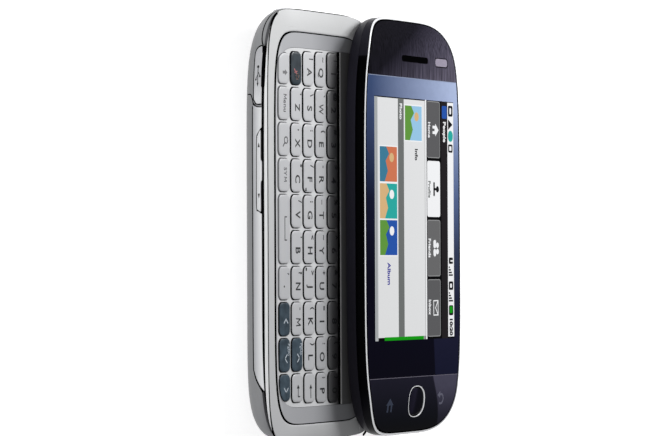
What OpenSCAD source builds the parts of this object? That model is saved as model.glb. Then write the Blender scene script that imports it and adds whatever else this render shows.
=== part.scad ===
// Slider phone: a keyboard base on its back, with the display half slid out to the right.
// X is the sliding direction, Y runs along the phone to the earpiece end, Z is up.
// The origin is the centre of the back face. Sizes are in millimetres.

/* [Base half] */
// Length of the phone
body_len = 109; // [108:0.5:110]
// Width of the base half
base_wid = 54.5; // [54.3:0.1:54.7]
// Height of the keyboard bezel above the back face
base_top = 8.8; // [8.8:0.05:8.85]
// Height of the part line between back cover and side strips
strip_low = 5.15; // [5.1:0.05:5.2]
// Wall of the battery cover
cover_wall = 0.9; // [0.8:0.1:0.9]

/* [Display half] */
// How far the display half slides
travel = 35.25; // [35:0.25:35.5]
// Height of the whole phone
total_top = 15.9; // [15.9:0.05:16]
// Width of the display half
disp_wid = 51.1; // [50.9:0.1:51.1]
// Length over the edge of the curved face
face_len = 109.2; // [109:0.1:109.3]
// Gap between the bezel and the display half
half_gap = 0.5; // [0.45:0.05:0.5]
// Width of the bright rim round the face
rim_w = 0.65; // [0.6:0.05:0.7]

/* [Keyboard] */
// Distance between keys along a row
key_pitch = 9; // [8.95:0.05:9]
// Distance between rows
row_pitch = 5.89; // [5.85:0.01:5.9]
// Gap between neighbouring keys along a row
key_gap = 0.62; // [0.6:0.02:0.7]
// Width of a key across its row
key_w = 5.1; // [5:0.05:5.15]
// Height of the key tops
key_top = 8.75; // [8.7:0.05:8.75]
// How far a key presses down
key_press = 0.3; // [0.2:0.05:0.3]

/* [Hidden] */

SILVER = "#cfd0d2";
KEY_GREY = "#c6c8cb";
DARK_KEY = "#3d4d5c";
GRAPHITE = "#2b2735";
BOARD_GREEN = "#1f4d36";
STEEL = "#9a9ca0";
BLACK = "#0a0a0c";

N = 48;                 // points round an outline, a multiple of four
EPS = 0.02;             // assembly gap between fixed pieces that touch
FAR = 80;               // reach of cutting blocks
hw = base_wid / 2;
hl = body_len / 2;

// ---------------------------------------------------------------- outlines

function spow(t, p) = sign(t) * pow(abs(t), p);

// Drop of the display face towards its curved ends.
toe_start = 42.8;
toe_len = 13.14;
toe_drop = 5.28;
function toe(y) = let (u = min(1, max(0, (abs(y) - toe_start) / toe_len)))
    toe_drop * (1 - sqrt(1 - u * u));

// Ring of points on a rounded oblong, counter-clockwise from its -Y end.
// n is the squareness, with its own value n_low for the -Y half where given.
// bend is how strongly the ring follows the curved ends of the display face.
function ring(a, b, n, z, bend = 0, cx = 0, cy = 0, n_low = 0) = [for (i = [0:N - 1])
    let (t = -90 + 360 * i / N, q = 2 / (sin(t) < 0 && n_low > 0 ? n_low : n),
        x = cx + a * spow(cos(t), q), y = cy + b * spow(sin(t), q))
    [x, y, z - bend * toe(y)]];

function flat(points) = [for (p = points) [p.x, p.y]];

// Rounded rectangle as points, with steps + 1 points on each corner. r is the radius, or a list of
// [x, y] radii, one for each corner from +X +Y counter-clockwise.
function pill(x0, x1, y0, y1, r, steps = 3) = [for (c = [0:3], k = [0:steps])
    let (t = 90 * c + 90 * k / steps,
        s = is_list(r) ? r[c] : [r, r],
        cx = (c == 0 || c == 3) ? x1 - s.x : x0 + s.x,
        cy = (c < 2) ? y1 - s.y : y0 + s.y)
    [cx + s.x * cos(t), cy + s.y * sin(t)]];

function lifted(points, z) = [for (p = points) [p.x, p.y, z]];

// Solid through a stack of rings. End faces run in strips from side to side.
module loft(rings) {
    n = len(rings[0]);
    m = len(rings);
    up = (m - 1) * n;
    sides = [for (j = [0:m - 2], i = [0:n - 1]) let (k = (i + 1) % n, a = j * n, b = a + n)
        each [[a + i, b + i, b + k], [a + i, b + k, a + k]]];
    strips = [for (i = [0:n / 2 - 1]) let (k = n - i - 1, l = (n - i) % n)
        each [if (i + 1 != k) [i, i + 1, k], if (l != i) [i, k, l]]];
    lids = [for (t = strips) each [t, [up + t[0], up + t[2], up + t[1]]]];
    polyhedron([for (r = rings) each r], concat(sides, lids));
}

module prism(points, z0, z1) {
    translate([0, 0, z0]) linear_extrude(z1 - z0) polygon(points);
}

module block(x0, x1, y0, y1, z0, z1) {
    translate([x0, y0, z0]) cube([x1 - x0, y1 - y0, z1 - z0]);
}

module post(x, y, z0, z1, r) {
    translate([x, y, z0]) cylinder(h = z1 - z0, r = r, $fn = 32);
}

// Prism along X over an outline in the Y-Z plane.
module side_prism(points, x0, x1) {
    translate([x0, 0, 0]) rotate([90, 0, 90]) linear_extrude(x1 - x0) polygon(points);
}

// ---------------------------------------------------------------- base shell

round_x = 8;            // how far the back's rounding reaches in from the side
round_y = 15.3;         // and from the ends
round_z = 7.4;          // height of the rounding
side_top = 8.02;        // top of the rear housing, under the dark gap
gap_top = 8.42;         // top of the dark gap
n_side = 6;             // squareness of the outline at the side
n_back = 7.1;           // and at the flat of the back, upper end
n_back_low = 10.8;      // and lower end
PROFILE = [90, 68, 48, 30, 14, 0];

// Solid inside of the base's outer skin, d below the surface, up to z = top.
module shell(d, top = side_top) {
    loft([for (p = PROFILE) ring(hw - round_x + (round_x - d) * cos(p),
            hl - round_y + (round_y - d) * cos(p),
            n_side + (n_back - n_side) * sin(p), round_z - (round_z - d) * sin(p), 0, 0, 0,
            n_side + (n_back_low - n_side) * sin(p)),
        ring(hw - d, hl - d, n_side, top)]);
}

module skin(outer, inner, top = side_top) {
    difference() {
        shell(outer, top);
        shell(inner, top + 1);
    }
}

// Part lines on the side, as (y, z) points: the swoosh at the upper end and the sweep at the lower.
cover_end = 32.3;
SWOOSH = [[cover_end, -1], [32.1, 4.1], [30.8, 4.9], [29.9, strip_low - 0.05]];
SWEEP = [[-36, strip_low - 0.05], [-38.5, 5.9], [-40.3, 6.9], [-41.1, 7.25]];
COVER_ZONE = concat(SWOOSH, SWEEP, [[-60, 7.25], [-60, -1]]);
STRIP_ZONE = [[29, side_top], [29, 6.8], [29.3, 5.9], [29.6, strip_low], [-35.9, strip_low],
    [-38.35, 6], [-40.15, 7], [-41.3, side_top]];
TOP_ZONE = [[60, -1], [60, side_top], [29.12, side_top], [29.12, 6.85], [29.45, 5.95],
    [30, strip_low + 0.1], [30.95, 4.95], [32.25, 4.15], [cover_end + 0.12, -1]];

tray_d = cover_wall + 0.25; // room for the cover to slide off past the tapering tray
wall_d = 1.9;
floor_top = 2;

camera_y = 37.3;
camera_r = 4.6;
flash_x = 9.4;
flash_r = 1.9;
speaker_x = -11.5;
jack_x = 14;
jack_z = 4.6;
jack_r = 1.8;
jack_body_r = 2.6;
jack_mouth = 51.1;      // front of the jack, set back in the rounded end
jack_len = 14;
usb_y = 37;
usb_in = -19.6;         // inner side of the room kept for the USB connector
SCREW_XY = [[19.9, 27], [-19.9, 27], [19.9, -34.5], [-19.9, -34.5]];
BATTERY = [-17, 17, -30, 20];
rocker_mid = 13.25;
rocker_half = 9.95;
power_x = -13;
camera_key_y = -25;

module battery_bay(grow, z0, z1) {
    block(BATTERY[0] - grow, BATTERY[1] + grow, BATTERY[2] - grow, BATTERY[3] + grow, z0, z1);
}

// Round bar on the jack's axis, from y0 to y1 or out through the end of the phone.
module jack_tube(r, y0, y1 = hl + 1) {
    translate([jack_x, y0, jack_z]) rotate([-90, 0, 0]) cylinder(h = y1 - y0, r = r, $fn = 48);
}

module rear_housing() {
    color("#8f9194") difference() {
        union() {
            difference() {
                union() {
                    shell(tray_d);
                    intersection() {
                        shell(0);
                        side_prism(TOP_ZONE, -FAR, FAR);
                    }
                }
                intersection() {
                    shell(wall_d, side_top + 1);
                    block(-FAR, FAR, -FAR, FAR, floor_top, 20);
                }
            }
            battery_bay(1.4, 1.5, 5.45);
            for (p = SCREW_XY) post(p.x, p.y, 1.9, 5.45, 1.35);
        }
        battery_bay(0.4, -1, 6);
        for (p = SCREW_XY) {
            post(p.x, p.y, 0, 2.6, 1.25);
            post(p.x, p.y, 2, 7, 0.75);
        }
        post(0, camera_y, -1, 3, camera_r + EPS);
        post(flash_x, camera_y, -1, 3, flash_r + EPS);
        for (i = [-2:2]) block(speaker_x - 4.5, speaker_x + 4.5, camera_y + 1.9 * i - 0.4,
            camera_y + 1.9 * i + 0.4, -1, 3);
        jack_tube(jack_body_r + 0.05, jack_mouth - jack_len - 1.2);
        usb_pocket();
        block(-hw - 1, -hw + 5, usb_y - 3.9, usb_y + 3.9, 5.25, 9);
        block(-hw + 2.7, -hw + 5, usb_y - 3.9, usb_y + 3.9, 5, 6);
        block(-hw - 1, -hw + 2.6, rocker_mid - 11.2, rocker_mid + 11.2, 6.1, 9);
        block(hw - 2.6, hw + 1, camera_key_y - 5.2, camera_key_y + 5.2, 5.5, 7.35);
        block(power_x - 5.2, power_x + 5.2, hl - 3.6, hl + 1, 4.9, 6.9);
    }
}

module battery_cover() {
    color("#85878a") difference() {
        intersection() {
            skin(0, cover_wall, side_top - 0.02);
            side_prism(COVER_ZONE, -FAR, FAR);
        }
        // thumb dimple that lets the cover be pushed off
        translate([0, 24, -39.7]) sphere(r = 40, $fn = 48);
    }
}

SCALLOP = [[24.3, 8.2], [23.6, 7.4], [22.4, 6.7], [20.9, 6.4], [17, 6.3], [9.5, 6.2], [4.8, 6.1],
    [3.6, 6.5], [2.9, 7.3], [2.4, 8.2]];

module side_panels() {
    color(SILVER) difference() {
        intersection() {
            skin(0, tray_d - EPS);
            side_prism(STRIP_ZONE, -FAR, FAR);
        }
        side_prism(SCALLOP, -FAR, 0);
        block(0, FAR, camera_key_y - 5.1, camera_key_y + 5.1, 5.6, 7.25);
    }
}

// ---------------------------------------------------------------- keyboard bezel and deck

deck_top = 8.38;
deck_low = 7.75;
deck_in = 2.65;         // how far the deck stays inside the outline
window_cy = -0.75;

module window(z0, z1, grow = 0) {
    prism(flat(ring(22.7 + grow, 49.55 + grow, 7.5, 0, 0, 0, window_cy)), z0, z1);
}

// The bezel is squarer at the corners than the sides below it, most at the lower end.
function bezel_ring(inset, z, n, n_low) = ring(hw - inset, hl - 0.08 * inset, n, z, 0, 0, 0, n_low);

NOTCH = [[34.1, 8], [34.5, 8.45], [35.3, 8.56], [43.1, 8.56], [44, 8.45], [44.2, 8]];

module front_bezel() {
    color(SILVER) difference() {
        loft([bezel_ring(0.08, gap_top + EPS, 6.6, 8.8),
            bezel_ring(0.3, base_top - 0.24, 6.9, 8.8),
            bezel_ring(0.95, base_top - 0.1, 7.6, 8.7),
            bezel_ring(1.5, base_top - 0.03, 8.3, 8.5),
            bezel_ring(1.8, base_top, 8.3, 8.5)]);
        window(7, 10);
        // nail notch over the connector cover
        side_prism(NOTCH, -FAR, -25.1);
        // part line of the end cap, beside the display half
        block(18.2, 18.5, -FAR, -50.6, base_top - 0.35, 10);
    }
}

// Ear of the frame that takes a case screw at p.
module ear(p) {
    post(p.x, p.y, 6.5, 6.9, 1.6);
    translate([p.x, p.y - 1.6, 6.5]) mirror([p.x < 0 ? 1 : 0, 0, 0]) cube([3.7, 3.2, 0.4]);
}

module mid_frame() {
    color(BLACK) difference() {
        union() {
            prism(flat(ring(hw - 0.4, hl - 0.4, n_side, 0)), side_top + EPS, gap_top);
            prism(flat(ring(hw - 2.05, hl - 2.2, n_side, 0)), 6.5, gap_top);
        }
        prism(flat(ring(hw - deck_in + 0.05, hl - deck_in + 0.05, n_side, 0)), deck_low - EPS, 9);
        difference() {
            prism(flat(ring(hw - 4, hl - 4, 7, 0)), 6, 9);
            for (p = SCREW_XY) ear(p);
        }
        for (p = SCREW_XY) post(p.x, p.y, 6, 8, 0.72);
        block(-FAR, usb_in, usb_y - 4.1, usb_y + 4.1, 6, 7.45);
        block(-FAR, -25.2, rocker_mid - 11.5, rocker_mid + 11.5, 6, 9);
        block(-FAR, -24.9, 34, 44.2, 6.4, 9);
        block(25.2, FAR, camera_key_y - 5.5, camera_key_y + 5.5, 6, 7.5);
        block(power_x - 5.5, power_x + 5.5, hl - 3.5, FAR, 6, 7.4);
        block(jack_x - 3.2, jack_x + 3.2, 36, FAR, 6, 7.3);
    }
}

// Outline of the opening in the deck that holds the keys and the slide plate.
module well(grow, z0, z1) {
    prism(flat(ring(22.4 + grow, 45.35 + grow, 8.5, 0, 0, 1.6, -0.6)), z0, z1);
}

module deck_plate() {
    color("#a9abaf") difference() {
        prism(flat(ring(hw - deck_in, hl - deck_in, n_side, 0)), deck_low, deck_top);
        well(0, 7, 9);
        for (c = [0, COLS - 1]) prism(key_outline(c, 4, 0.2), 7, 9);
    }
}

bar_x = 9.7;            // where the fixed slide plate starts beside the number row

// ---------------------------------------------------------------- keys

KEY_START = 43.6;       // upper end of the first column
COLS = 10;
KEY_LOW = deck_low + 0.2;

// Centre of row r across the keyboard; 0 is the number row.
function row_x(r) = 5.72 - row_pitch * r;
// The block's ends bow outward a little beside the middle rows.
function bow(r) = [0.75, 0.6, 0.4, 0.1, -0.4][r];
function key_y1(c, r) = KEY_START - key_pitch * c + (c == 0 ? bow(r) - 0.1 : 0);
function key_y0(c, r) = c == COLS - 1
    ? KEY_START - key_pitch * COLS + 1.9 - bow(r)
    : KEY_START - key_pitch * (c + 1) + key_gap;
key_r = 1.45;

// Radii of a key's corners. The two outer keys of the last row have one large corner each.
function key_corners(c, r) = [
    [key_r, key_r],
    (r == 4 && c == 0) ? [3.2, 2.6] : [key_r, key_r],
    (r == 4 && c == COLS - 1) ? [2.6, 4.8] : [key_r, key_r],
    [key_r, key_r]];

function key_outline(c, r, grow = 0, span = 1) = pill(row_x(r) - key_w / 2 - grow,
    row_x(r) + key_w / 2 + grow, key_y0(c + span - 1, r) - grow, key_y1(c, r) + grow,
    [for (s = key_corners(c, r)) s + [grow, grow]]);

// Ordered so that point i and point n - i face each other across the key.
function turned(points) = let (n = len(points), s = 3 * n / 4)
    [for (i = [0:n - 1]) points[(i + s) % n]];

module keycap(c, r, span = 1) {
    loft([lifted(turned(key_outline(c, r, 0, span)), KEY_LOW),
        lifted(turned(key_outline(c, r, 0, span)), key_top - 0.16),
        lifted(turned(key_outline(c, r, -0.22, span)), key_top)]);
}

// Keys of one row, from column c0 to column c1.
module key_run(r, c0, c1, tint = KEY_GREY) {
    color(tint) for (c = [c0:c1]) keycap(c, r);
}

module number_keys() { key_run(0, 0, 9); }
module qwerty_keys() { key_run(1, 0, 9); }
module home_row_keys() { key_run(2, 0, 8); }
module lower_row_keys() { key_run(3, 1, 7); }
module backspace_key() { key_run(2, 9, 9); }
module fn_key() { key_run(3, 0, 0, DARK_KEY); }
module up_key() { key_run(3, 8, 8, DARK_KEY); }
module enter_key() { key_run(3, 9, 9); }
module shift_key() { key_run(4, 0, 0); }
module menu_key() { key_run(4, 1, 1); }
module search_key() { key_run(4, 2, 2); }
module symbol_key() { key_run(4, 3, 3); }
module space_key() { color(KEY_GREY) keycap(4, 4, 2); }
module period_key() { key_run(4, 6, 6); }
module left_key() { key_run(4, 7, 7, DARK_KEY); }
module down_key() { key_run(4, 8, 8, DARK_KEY); }
module right_key() { key_run(4, 9, 9, DARK_KEY); }

key_clear = 0.1;

module key_frame() {
    color(SILVER) translate([0, 0, deck_low]) linear_extrude(deck_top - 0.04 - deck_low) difference() {
        intersection() {
            polygon(flat(ring(22.4 - 0.08, 45.35 - 0.08, 8.5, 0, 0, 1.6, -0.6)));
            translate([-FAR, -FAR]) square([FAR + bar_x - 0.3, 2 * FAR]);
        }
        for (r = [0:3], c = [0:COLS - 1]) polygon(key_outline(c, r, key_clear));
        for (c = [0, 1, 2, 3, 6, 7, 8, 9]) polygon(key_outline(c, 4, key_clear));
        polygon(key_outline(4, 4, key_clear, 2));
    }
}

KEY_FIELD = [-20.9, 9.6, -46, 44.6];

module key_field(inset, z0, z1) {
    prism(pill(KEY_FIELD[0] + inset, KEY_FIELD[1] - inset, KEY_FIELD[2] + inset, KEY_FIELD[3] - inset, 5), z0, z1);
}

module keypad_sheet() {
    color("#d8d8d4") key_field(0.2, 7.42, 7.55);
}

module keyboard_board() {
    color(BOARD_GREEN) difference() {
        key_field(0, 6.95, 7.38);
        for (p = SCREW_XY) post(p.x, p.y, 6, 8, 1.7);
        block(-FAR, usb_in, usb_y - 4, usb_y + 4, 6, 8);
    }
}

// ---------------------------------------------------------------- inside the base

module main_board() {
    color(BOARD_GREEN) difference() {
        prism(flat(ring(hw - 3, hl - 4, 6, 0)), 5.6, 6.4);
        for (p = SCREW_XY) post(p.x, p.y, 5, 7, 0.9);
        block(jack_x - 3, jack_x + 3, 35.8, FAR, 5, 7);
        block(-FAR, usb_in, usb_y - 4, usb_y + 4, 5, 7);
        block(power_x - 5.6, power_x + 5.6, hl - 5, FAR, 5, 7);
    }
}

// Five-sided metal cans soldered under the board.
module can(x0, x1, y0, y1) {
    difference() {
        block(x0, x1, y0, y1, 3.9, 5.58);
        block(x0 + 0.25, x1 - 0.25, y0 + 0.25, y1 - 0.25, 4.15, 6);
    }
}

module shield_cans() {
    color(STEEL) {
        can(-17, -1, 22.6, 31);
        can(1, 17, 22.6, 31);
    }
}

module card_sockets() {
    color(STEEL) {
        difference() {
            block(-9, 7, -46, -33, 4.2, 5.58);
            block(-8, 6, -47, -34.5, 4.45, 5.3);
        }
        difference() {
            block(9, 18, -46, -33, 4.3, 5.58);
            block(10, 17, -47, -34.5, 4.5, 5.3);
        }
    }
}

module usb_connector() {
    color(STEEL) difference() {
        block(-24.2, -19.9, usb_y - 3.75, usb_y + 3.75, 5.1, 7.35);
        block(-FAR, -20.6, usb_y - 3.45, usb_y + 3.45, 5.35, 7.1);
    }
    color(BLACK) block(-23.8, -20.5, usb_y - 2.6, usb_y + 2.6, 6, 6.45);
}

module audio_jack() {
    color(BLACK) difference() {
        jack_tube(jack_body_r, jack_mouth - jack_len - 1, jack_mouth);
        jack_tube(jack_r, jack_mouth - jack_len);
    }
}

module battery() {
    color("#3a3c40") prism(pill(BATTERY[0], BATTERY[1], BATTERY[2], BATTERY[3], 1.2), 1.1, 5.35);
}

module camera_module() {
    color(BLACK) {
        post(0, camera_y, 1.45, 2.6, 3.1);
        block(-4.2, 4.2, camera_y - 4.2, camera_y + 4.2, 2.6, 5.4);
    }
}

module camera_ring() {
    color("#b8babd") translate([0, camera_y, 0]) rotate_extrude($fn = 64)
        polygon([[3.3, 0.45], [3.9, 0.14], [camera_r, 0.14], [camera_r, 2.1], [3.3, 2.1]]);
}

module camera_window() {
    color(BLACK) post(0, camera_y, 0.5, 1.3, 3.28);
}

module flash_lens() {
    color("#f2f2ea") union() {
        post(flash_x, camera_y, 0.15, 2.1, flash_r);
        block(flash_x - 1.6, flash_x + 1.6, camera_y - 1.6, camera_y + 1.6, 2.1, 3.2);
    }
}

module loudspeaker() {
    color(BLACK) block(-17.8, -5.3, 31.8, 42, 2.35, 5.2);
}

module vibration_motor() {
    color(STEEL) union() {
        translate([-14, -35, 4.1]) rotate([90, 0, 0]) cylinder(h = 8, r = 1.4, $fn = 40);
        translate([-14, -43, 4.1]) rotate([90, 0, 0]) cylinder(h = 2, r = 0.6, $fn = 32);
    }
}

module screw(x, y, z0, z1, head_h, head_r, r) {
    post(x, y, z0, z0 + head_h, head_r);
    post(x, y, z0 + head_h, z1, r);
}

module case_screws() {
    color(STEEL) for (p = SCREW_XY) screw(p.x, p.y, 1.95, 6.85, 0.65, 1.2, 0.7);
}

// ---------------------------------------------------------------- slide mechanism

base_plate_top = 8.6;
disp_low = base_top + half_gap;
plate_t = 0.5;
neck_r = 1;
head_r = 2;
head_z = disp_low + plate_t + 0.08;
STUD_Y = [-35, -13, 13, 35];
stud_x = travel / 2;
slide_clear = 0.05;

module slide_base_plate() {
    color("#3a3b3e") difference() {
        intersection() {
            well(-0.08, deck_low, base_plate_top);
            window(deck_low, base_plate_top, -0.1);
            block(bar_x, FAR, -FAR, FAR, 7, 9);
        }
        for (y = STUD_Y) post(stud_x, y, 7, 9, 1.3);
        block(13.6, 22.6, -6, 6, 7, 9);
    }
}

module guide_studs() {
    color(STEEL) for (y = STUD_Y) {
        post(stud_x, y, deck_low, base_plate_top, 1.3);
        post(stud_x, y, base_plate_top, head_z, neck_r);
        post(stud_x, y, head_z, head_z + 0.4, head_r);
    }
}

// Flat ribbon that folds over under the display half.
module flex_cable() {
    color("#b5793a") {
        block(14, 22, -5, 5, 8.62, 8.72);
        block(14, 22, -5, 5, 8.96, 9.06);
        translate([22, 5, 8.84]) rotate([90, 0, 0]) half_tube(0.12, 0.22, 10);
        block(14, 14.4, -5, 5, deck_low, 8.62);
    }
}

// Half of a tube, on the +X side of its axis.
module half_tube(r0, r1, h) {
    difference() {
        cylinder(h = h, r = r1, $fn = 32);
        translate([0, 0, -1]) cylinder(h = h + 2, r = r0, $fn = 32);
        translate([-2, -2, -1]) cube([2, 4, h + 2]);
    }
}

// Assist springs: bent wires that lie flat under the slide plate.
wire_r = 0.16;
wire_z = disp_low - 0.24;

module wire(p, q) {
    d = q - p;
    translate([p.x, p.y, wire_z]) rotate([0, 90, atan2(d.y, d.x)]) cylinder(h = norm(d), r = wire_r, $fn = 16);
}

module slide_springs() {
    color("#c9ccd0") for (s = [-1, 1]) {
        path = [[19.5, 29 * s], [14.5, 29 * s], [14.5, 18.5 * s], [19.5, 18.5 * s]];
        for (i = [0:len(path) - 2]) wire(path[i], path[i + 1]);
        for (p = path) translate([p.x, p.y, wire_z]) sphere(r = wire_r, $fn = 16);
    }
}

module slots(half, z0, z1) {
    for (y = STUD_Y) {
        block(-stud_x, stud_x, y - half, y + half, z0, z1);
        for (s = [-1, 1]) post(s * stud_x, y, z0, z1, half);
    }
}

plate_wx = 21.4;
plate_wy = 43.5;

module slide_plate() {
    color(STEEL) translate([travel, 0, 0]) difference() {
        prism(pill(-plate_wx, plate_wx, -plate_wy, plate_wy, 4), disp_low, disp_low + plate_t);
        slots(neck_r + slide_clear, 9, 10);
    }
}

// ---------------------------------------------------------------- side and end buttons, covers

ROCKER = [[22.1, 6.85], [23.15, 7.35], [22.7, 7.65], [16.4, 7.65], [15.4, 7.98], [11.1, 7.98],
    [10.1, 7.65], [3.8, 7.65], [3.3, 7.3], [3.7, 6.8], [4.4, 6.5], [20.9, 6.58]];
rocker_axis = -25.9;    // pivot on the rocker's back

module volume_rocker() {
    color(SILVER) union() {
        intersection() {
            skin(-0.15, 1.4, 8.1);
            side_prism(ROCKER, -FAR, 0);
        }
        post(rocker_axis, rocker_mid, 6.7, 7.6, 0.6);
    }
}

USB_ZONE = [[44.2, 7.58], [44.2, 7.0], [43.7, 6.1], [42.6, 5.5], [41, 5.4], [32, 5.4], [30.7, 5.7],
    [29.85, 6.5], [29.8, 7.8], [33.8, 7.8], [34.3, 7.58]];
flap_axis = [-26.7, 30.32]; // hinge at the flap's rounded end
flap_end_r = 0.52;

module usb_pocket() {
    intersection() {
        skin(-1, 1.15, 9);
        side_prism([[44.3, 9], [44.3, 6.95], [43.8, 6], [42.65, 5.4], [41, 5.3], [32, 5.3],
            [30.6, 5.6], [29.75, 6.45], [29.7, 9]], -FAR, 0);
    }
}

module usb_cover() {
    color(SILVER) intersection() {
        skin(0, 1.05, 7.9);
        side_prism(USB_ZONE, -FAR, 0);
        union() {
            block(-FAR, 0, flap_axis.y, FAR, 0, 9);
            post(flap_axis.x, flap_axis.y, 0, 9, flap_end_r);
        }
    }
}

module camera_key() {
    color(SILVER) intersection() {
        skin(-0.3, 1.2, 7.6);
        side_prism(pill(camera_key_y - 4.95, camera_key_y + 4.95, 5.75, 7.1, 0.6), 0, FAR);
    }
}

module power_key() {
    color(SILVER) intersection() {
        skin(-0.25, 1.4, 7.6);
        rotate([90, 0, 0]) translate([0, 0, -FAR]) linear_extrude(FAR)
            polygon(pill(power_x - 4.95, power_x + 4.95, 5.15, 6.65, 0.6));
    }
}

// ---------------------------------------------------------------- display half
// These modules are drawn round the display half's own centre and moved to the open position.

dw = disp_wid / 2;
fl = face_len / 2;
end_y = fl + 0.1;       // half the length over the rim
n_face = 4.95;
crease_z = 13;
crease_bend = 0.42;
face_in = rim_w + 0.05;
cavity_z = disp_low + 1.5;

module open_place() {
    translate([travel, 0, 0]) children();
}

module display_housing() {
    color(GRAPHITE) open_place() difference() {
        loft([ring(dw - 1.5, end_y - 0.5, n_face, disp_low),
            ring(dw - 0.95, end_y - 0.15, n_face, disp_low + 0.9, 0.06),
            ring(dw - 0.4, end_y, n_face, disp_low + 2.2, 0.22),
            ring(dw, end_y, n_face, crease_z - 0.02, crease_bend)]);
        prism(flat(ring(dw - 1.9, 48.5, n_face, 0)), cavity_z, FAR);
        prism(pill(-plate_wx - EPS, plate_wx + EPS, -plate_wy - EPS, plate_wy + EPS, 4),
            9, disp_low + plate_t + EPS);
        slots(head_r + 0.15, 9, disp_low + plate_t + 0.65);
        for (p = DISPLAY_SCREWS) {
            post(p.x, p.y, 9, disp_low + 0.8, 1.25);
            post(p.x, p.y, 9, 15, 0.75);
        }
    }
}

DISPLAY_SCREWS = [for (x = [-15.5, 15.5], y = [-49.3, 49.3]) [x, y]];

module display_frame() {
    color(BLACK) open_place() difference() {
        loft([ring(dw, end_y, n_face, crease_z, crease_bend),
            ring(dw, end_y, n_face, rim_low - 0.02, 1)]);
        prism(flat(ring(dw - 1.6, 49, n_face, 0)), 9, FAR);
        loft([ring(dw - face_in, fl - face_in, n_face, total_top - 0.92, 1),
            ring(dw - face_in, fl - face_in, n_face, total_top + 5, 1)]);
        loft([ring(dw - 0.28, end_y - 0.28, n_face, rim_foot - 0.02, 1),
            ring(dw - 0.28, end_y - 0.28, n_face, total_top + 1, 1)]);
        for (p = DISPLAY_SCREWS) post(p.x, p.y, 9, 13.5, 0.72);
    }
}

rim_low = total_top - 0.16; // lower edge of the rim on the outside, where the black band ends
rim_foot = total_top - 0.6; // lower end of the rim's foot behind the band

module chrome_rim() {
    color("#e6e7ea") open_place() difference() {
        union() {
            loft([ring(dw - 0.3, end_y - 0.3, n_face, rim_foot, 1),
                ring(dw - 0.3, end_y - 0.3, n_face, rim_low + 0.05, 1)]);
            loft([ring(dw, end_y, n_face, rim_low, 1),
                ring(dw - 0.04, end_y - 0.08, n_face, rim_low + 0.1, 1),
                ring(dw - 0.22, end_y - 0.26, n_face, total_top, 1)]);
        }
        loft([ring(dw - rim_w, fl - rim_w, n_face, total_top - 2, 1),
            ring(dw - rim_w, fl - rim_w, n_face, total_top + 2, 1)]);
    }
}

trim_line = 39;
cover_line = -39.5;

// The face inside the rim, a thin plate with curved ends.
module face_plate(y0, y1, t = 0.88) {
    intersection() {
        loft([ring(dw - face_in, fl - face_in, n_face, total_top - 0.02 - t, 1),
            ring(dw - face_in, fl - face_in, n_face, total_top - 0.02, 1)]);
        block(-FAR, FAR, y0, y1, 0, FAR);
    }
}

module touch_glass() {
    color("#10182c") open_place() face_plate(cover_line + 0.05, trim_line - 0.05);
}

EAR_SLOT = [-5.6, 8, 43.2, 44.8];
SENSOR = [12.1, 18.7, 42.95, 44.7];

function inset_box(b, d) = pill(b[0] + d, b[1] - d, b[2] + d, b[3] - d, 0.75 - d);

module top_trim() {
    color(GRAPHITE) open_place() difference() {
        face_plate(trim_line, FAR);
        prism(inset_box(EAR_SLOT, 0), 9, 20);
        prism(inset_box(SENSOR, 0), 9, 20);
    }
}

module sensor_window() {
    color("#8f88a0") open_place() prism(inset_box(SENSOR, 0.05), 15, 15.82);
}

button_x = 0.9;
button_y = -46;

module button_shape(grow, z0, z1) {
    loft([ring(3.85 + grow, 3.6 + grow, 2.5, z0, 1, button_x, button_y),
        ring(3.85 + grow, 3.6 + grow, 2.5, z1, 1, button_x, button_y)]);
}

module lower_cover() {
    color("#14131c") open_place() difference() {
        face_plate(-FAR, cover_line);
        button_shape(0.85 + EPS, 9, 20);
    }
}

module button_ring() {
    color("#d7d8dc") open_place() difference() {
        button_shape(0.85, total_top - 0.85, total_top + 0.05);
        button_shape(0.15, 9, 20);
    }
}

module menu_button() {
    color(BLACK) open_place() union() {
        loft([ring(3.85, 3.6, 2.5, total_top - 0.56, 1, button_x, button_y),
            ring(3.85, 3.6, 2.5, total_top - 0.04, 1, button_x, button_y),
            ring(3.5, 3.25, 2.5, total_top + 0.06, 1, button_x, button_y)]);
        post(button_x, button_y, 13.2, total_top - 0.5, 1.1);
    }
}

module lcd_module() {
    color("#c8c9cc") open_place() block(-22.3, 22.3, -33, 36, 12.4, 14.95);
}

module earpiece() {
    color(BLACK) open_place() prism(pill(-5, 7.4, 40.8, 47.2, 1.5), 12, 14.4);
}

module display_screws() {
    color(STEEL) open_place() for (p = DISPLAY_SCREWS)
        screw(p.x, p.y, disp_low + 0.05, 13.2, 0.7, 1.2, 0.7);
}

// ---------------------------------------------------------------- assembly

rear_housing();
battery_cover();
side_panels();
front_bezel();
mid_frame();
deck_plate();
key_frame();
keypad_sheet();
keyboard_board();
main_board();
shield_cans();
card_sockets();
usb_connector();
audio_jack();
battery();
camera_module();
camera_ring();
camera_window();
flash_lens();
loudspeaker();
vibration_motor();
case_screws();
slide_base_plate();
guide_studs();
flex_cable();
slide_springs();
volume_rocker();
usb_cover();
camera_key();
power_key();
number_keys();
qwerty_keys();
home_row_keys();
lower_row_keys();
fn_key();
shift_key();
menu_key();
search_key();
symbol_key();
space_key();
period_key();
left_key();
down_key();
right_key();
up_key();
enter_key();
backspace_key();
slide_plate();
display_housing();
display_frame();
chrome_rim();
lcd_module();
touch_glass();
top_trim();
lower_cover();
earpiece();
sensor_window();
menu_button();
button_ring();
display_screws();
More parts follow.
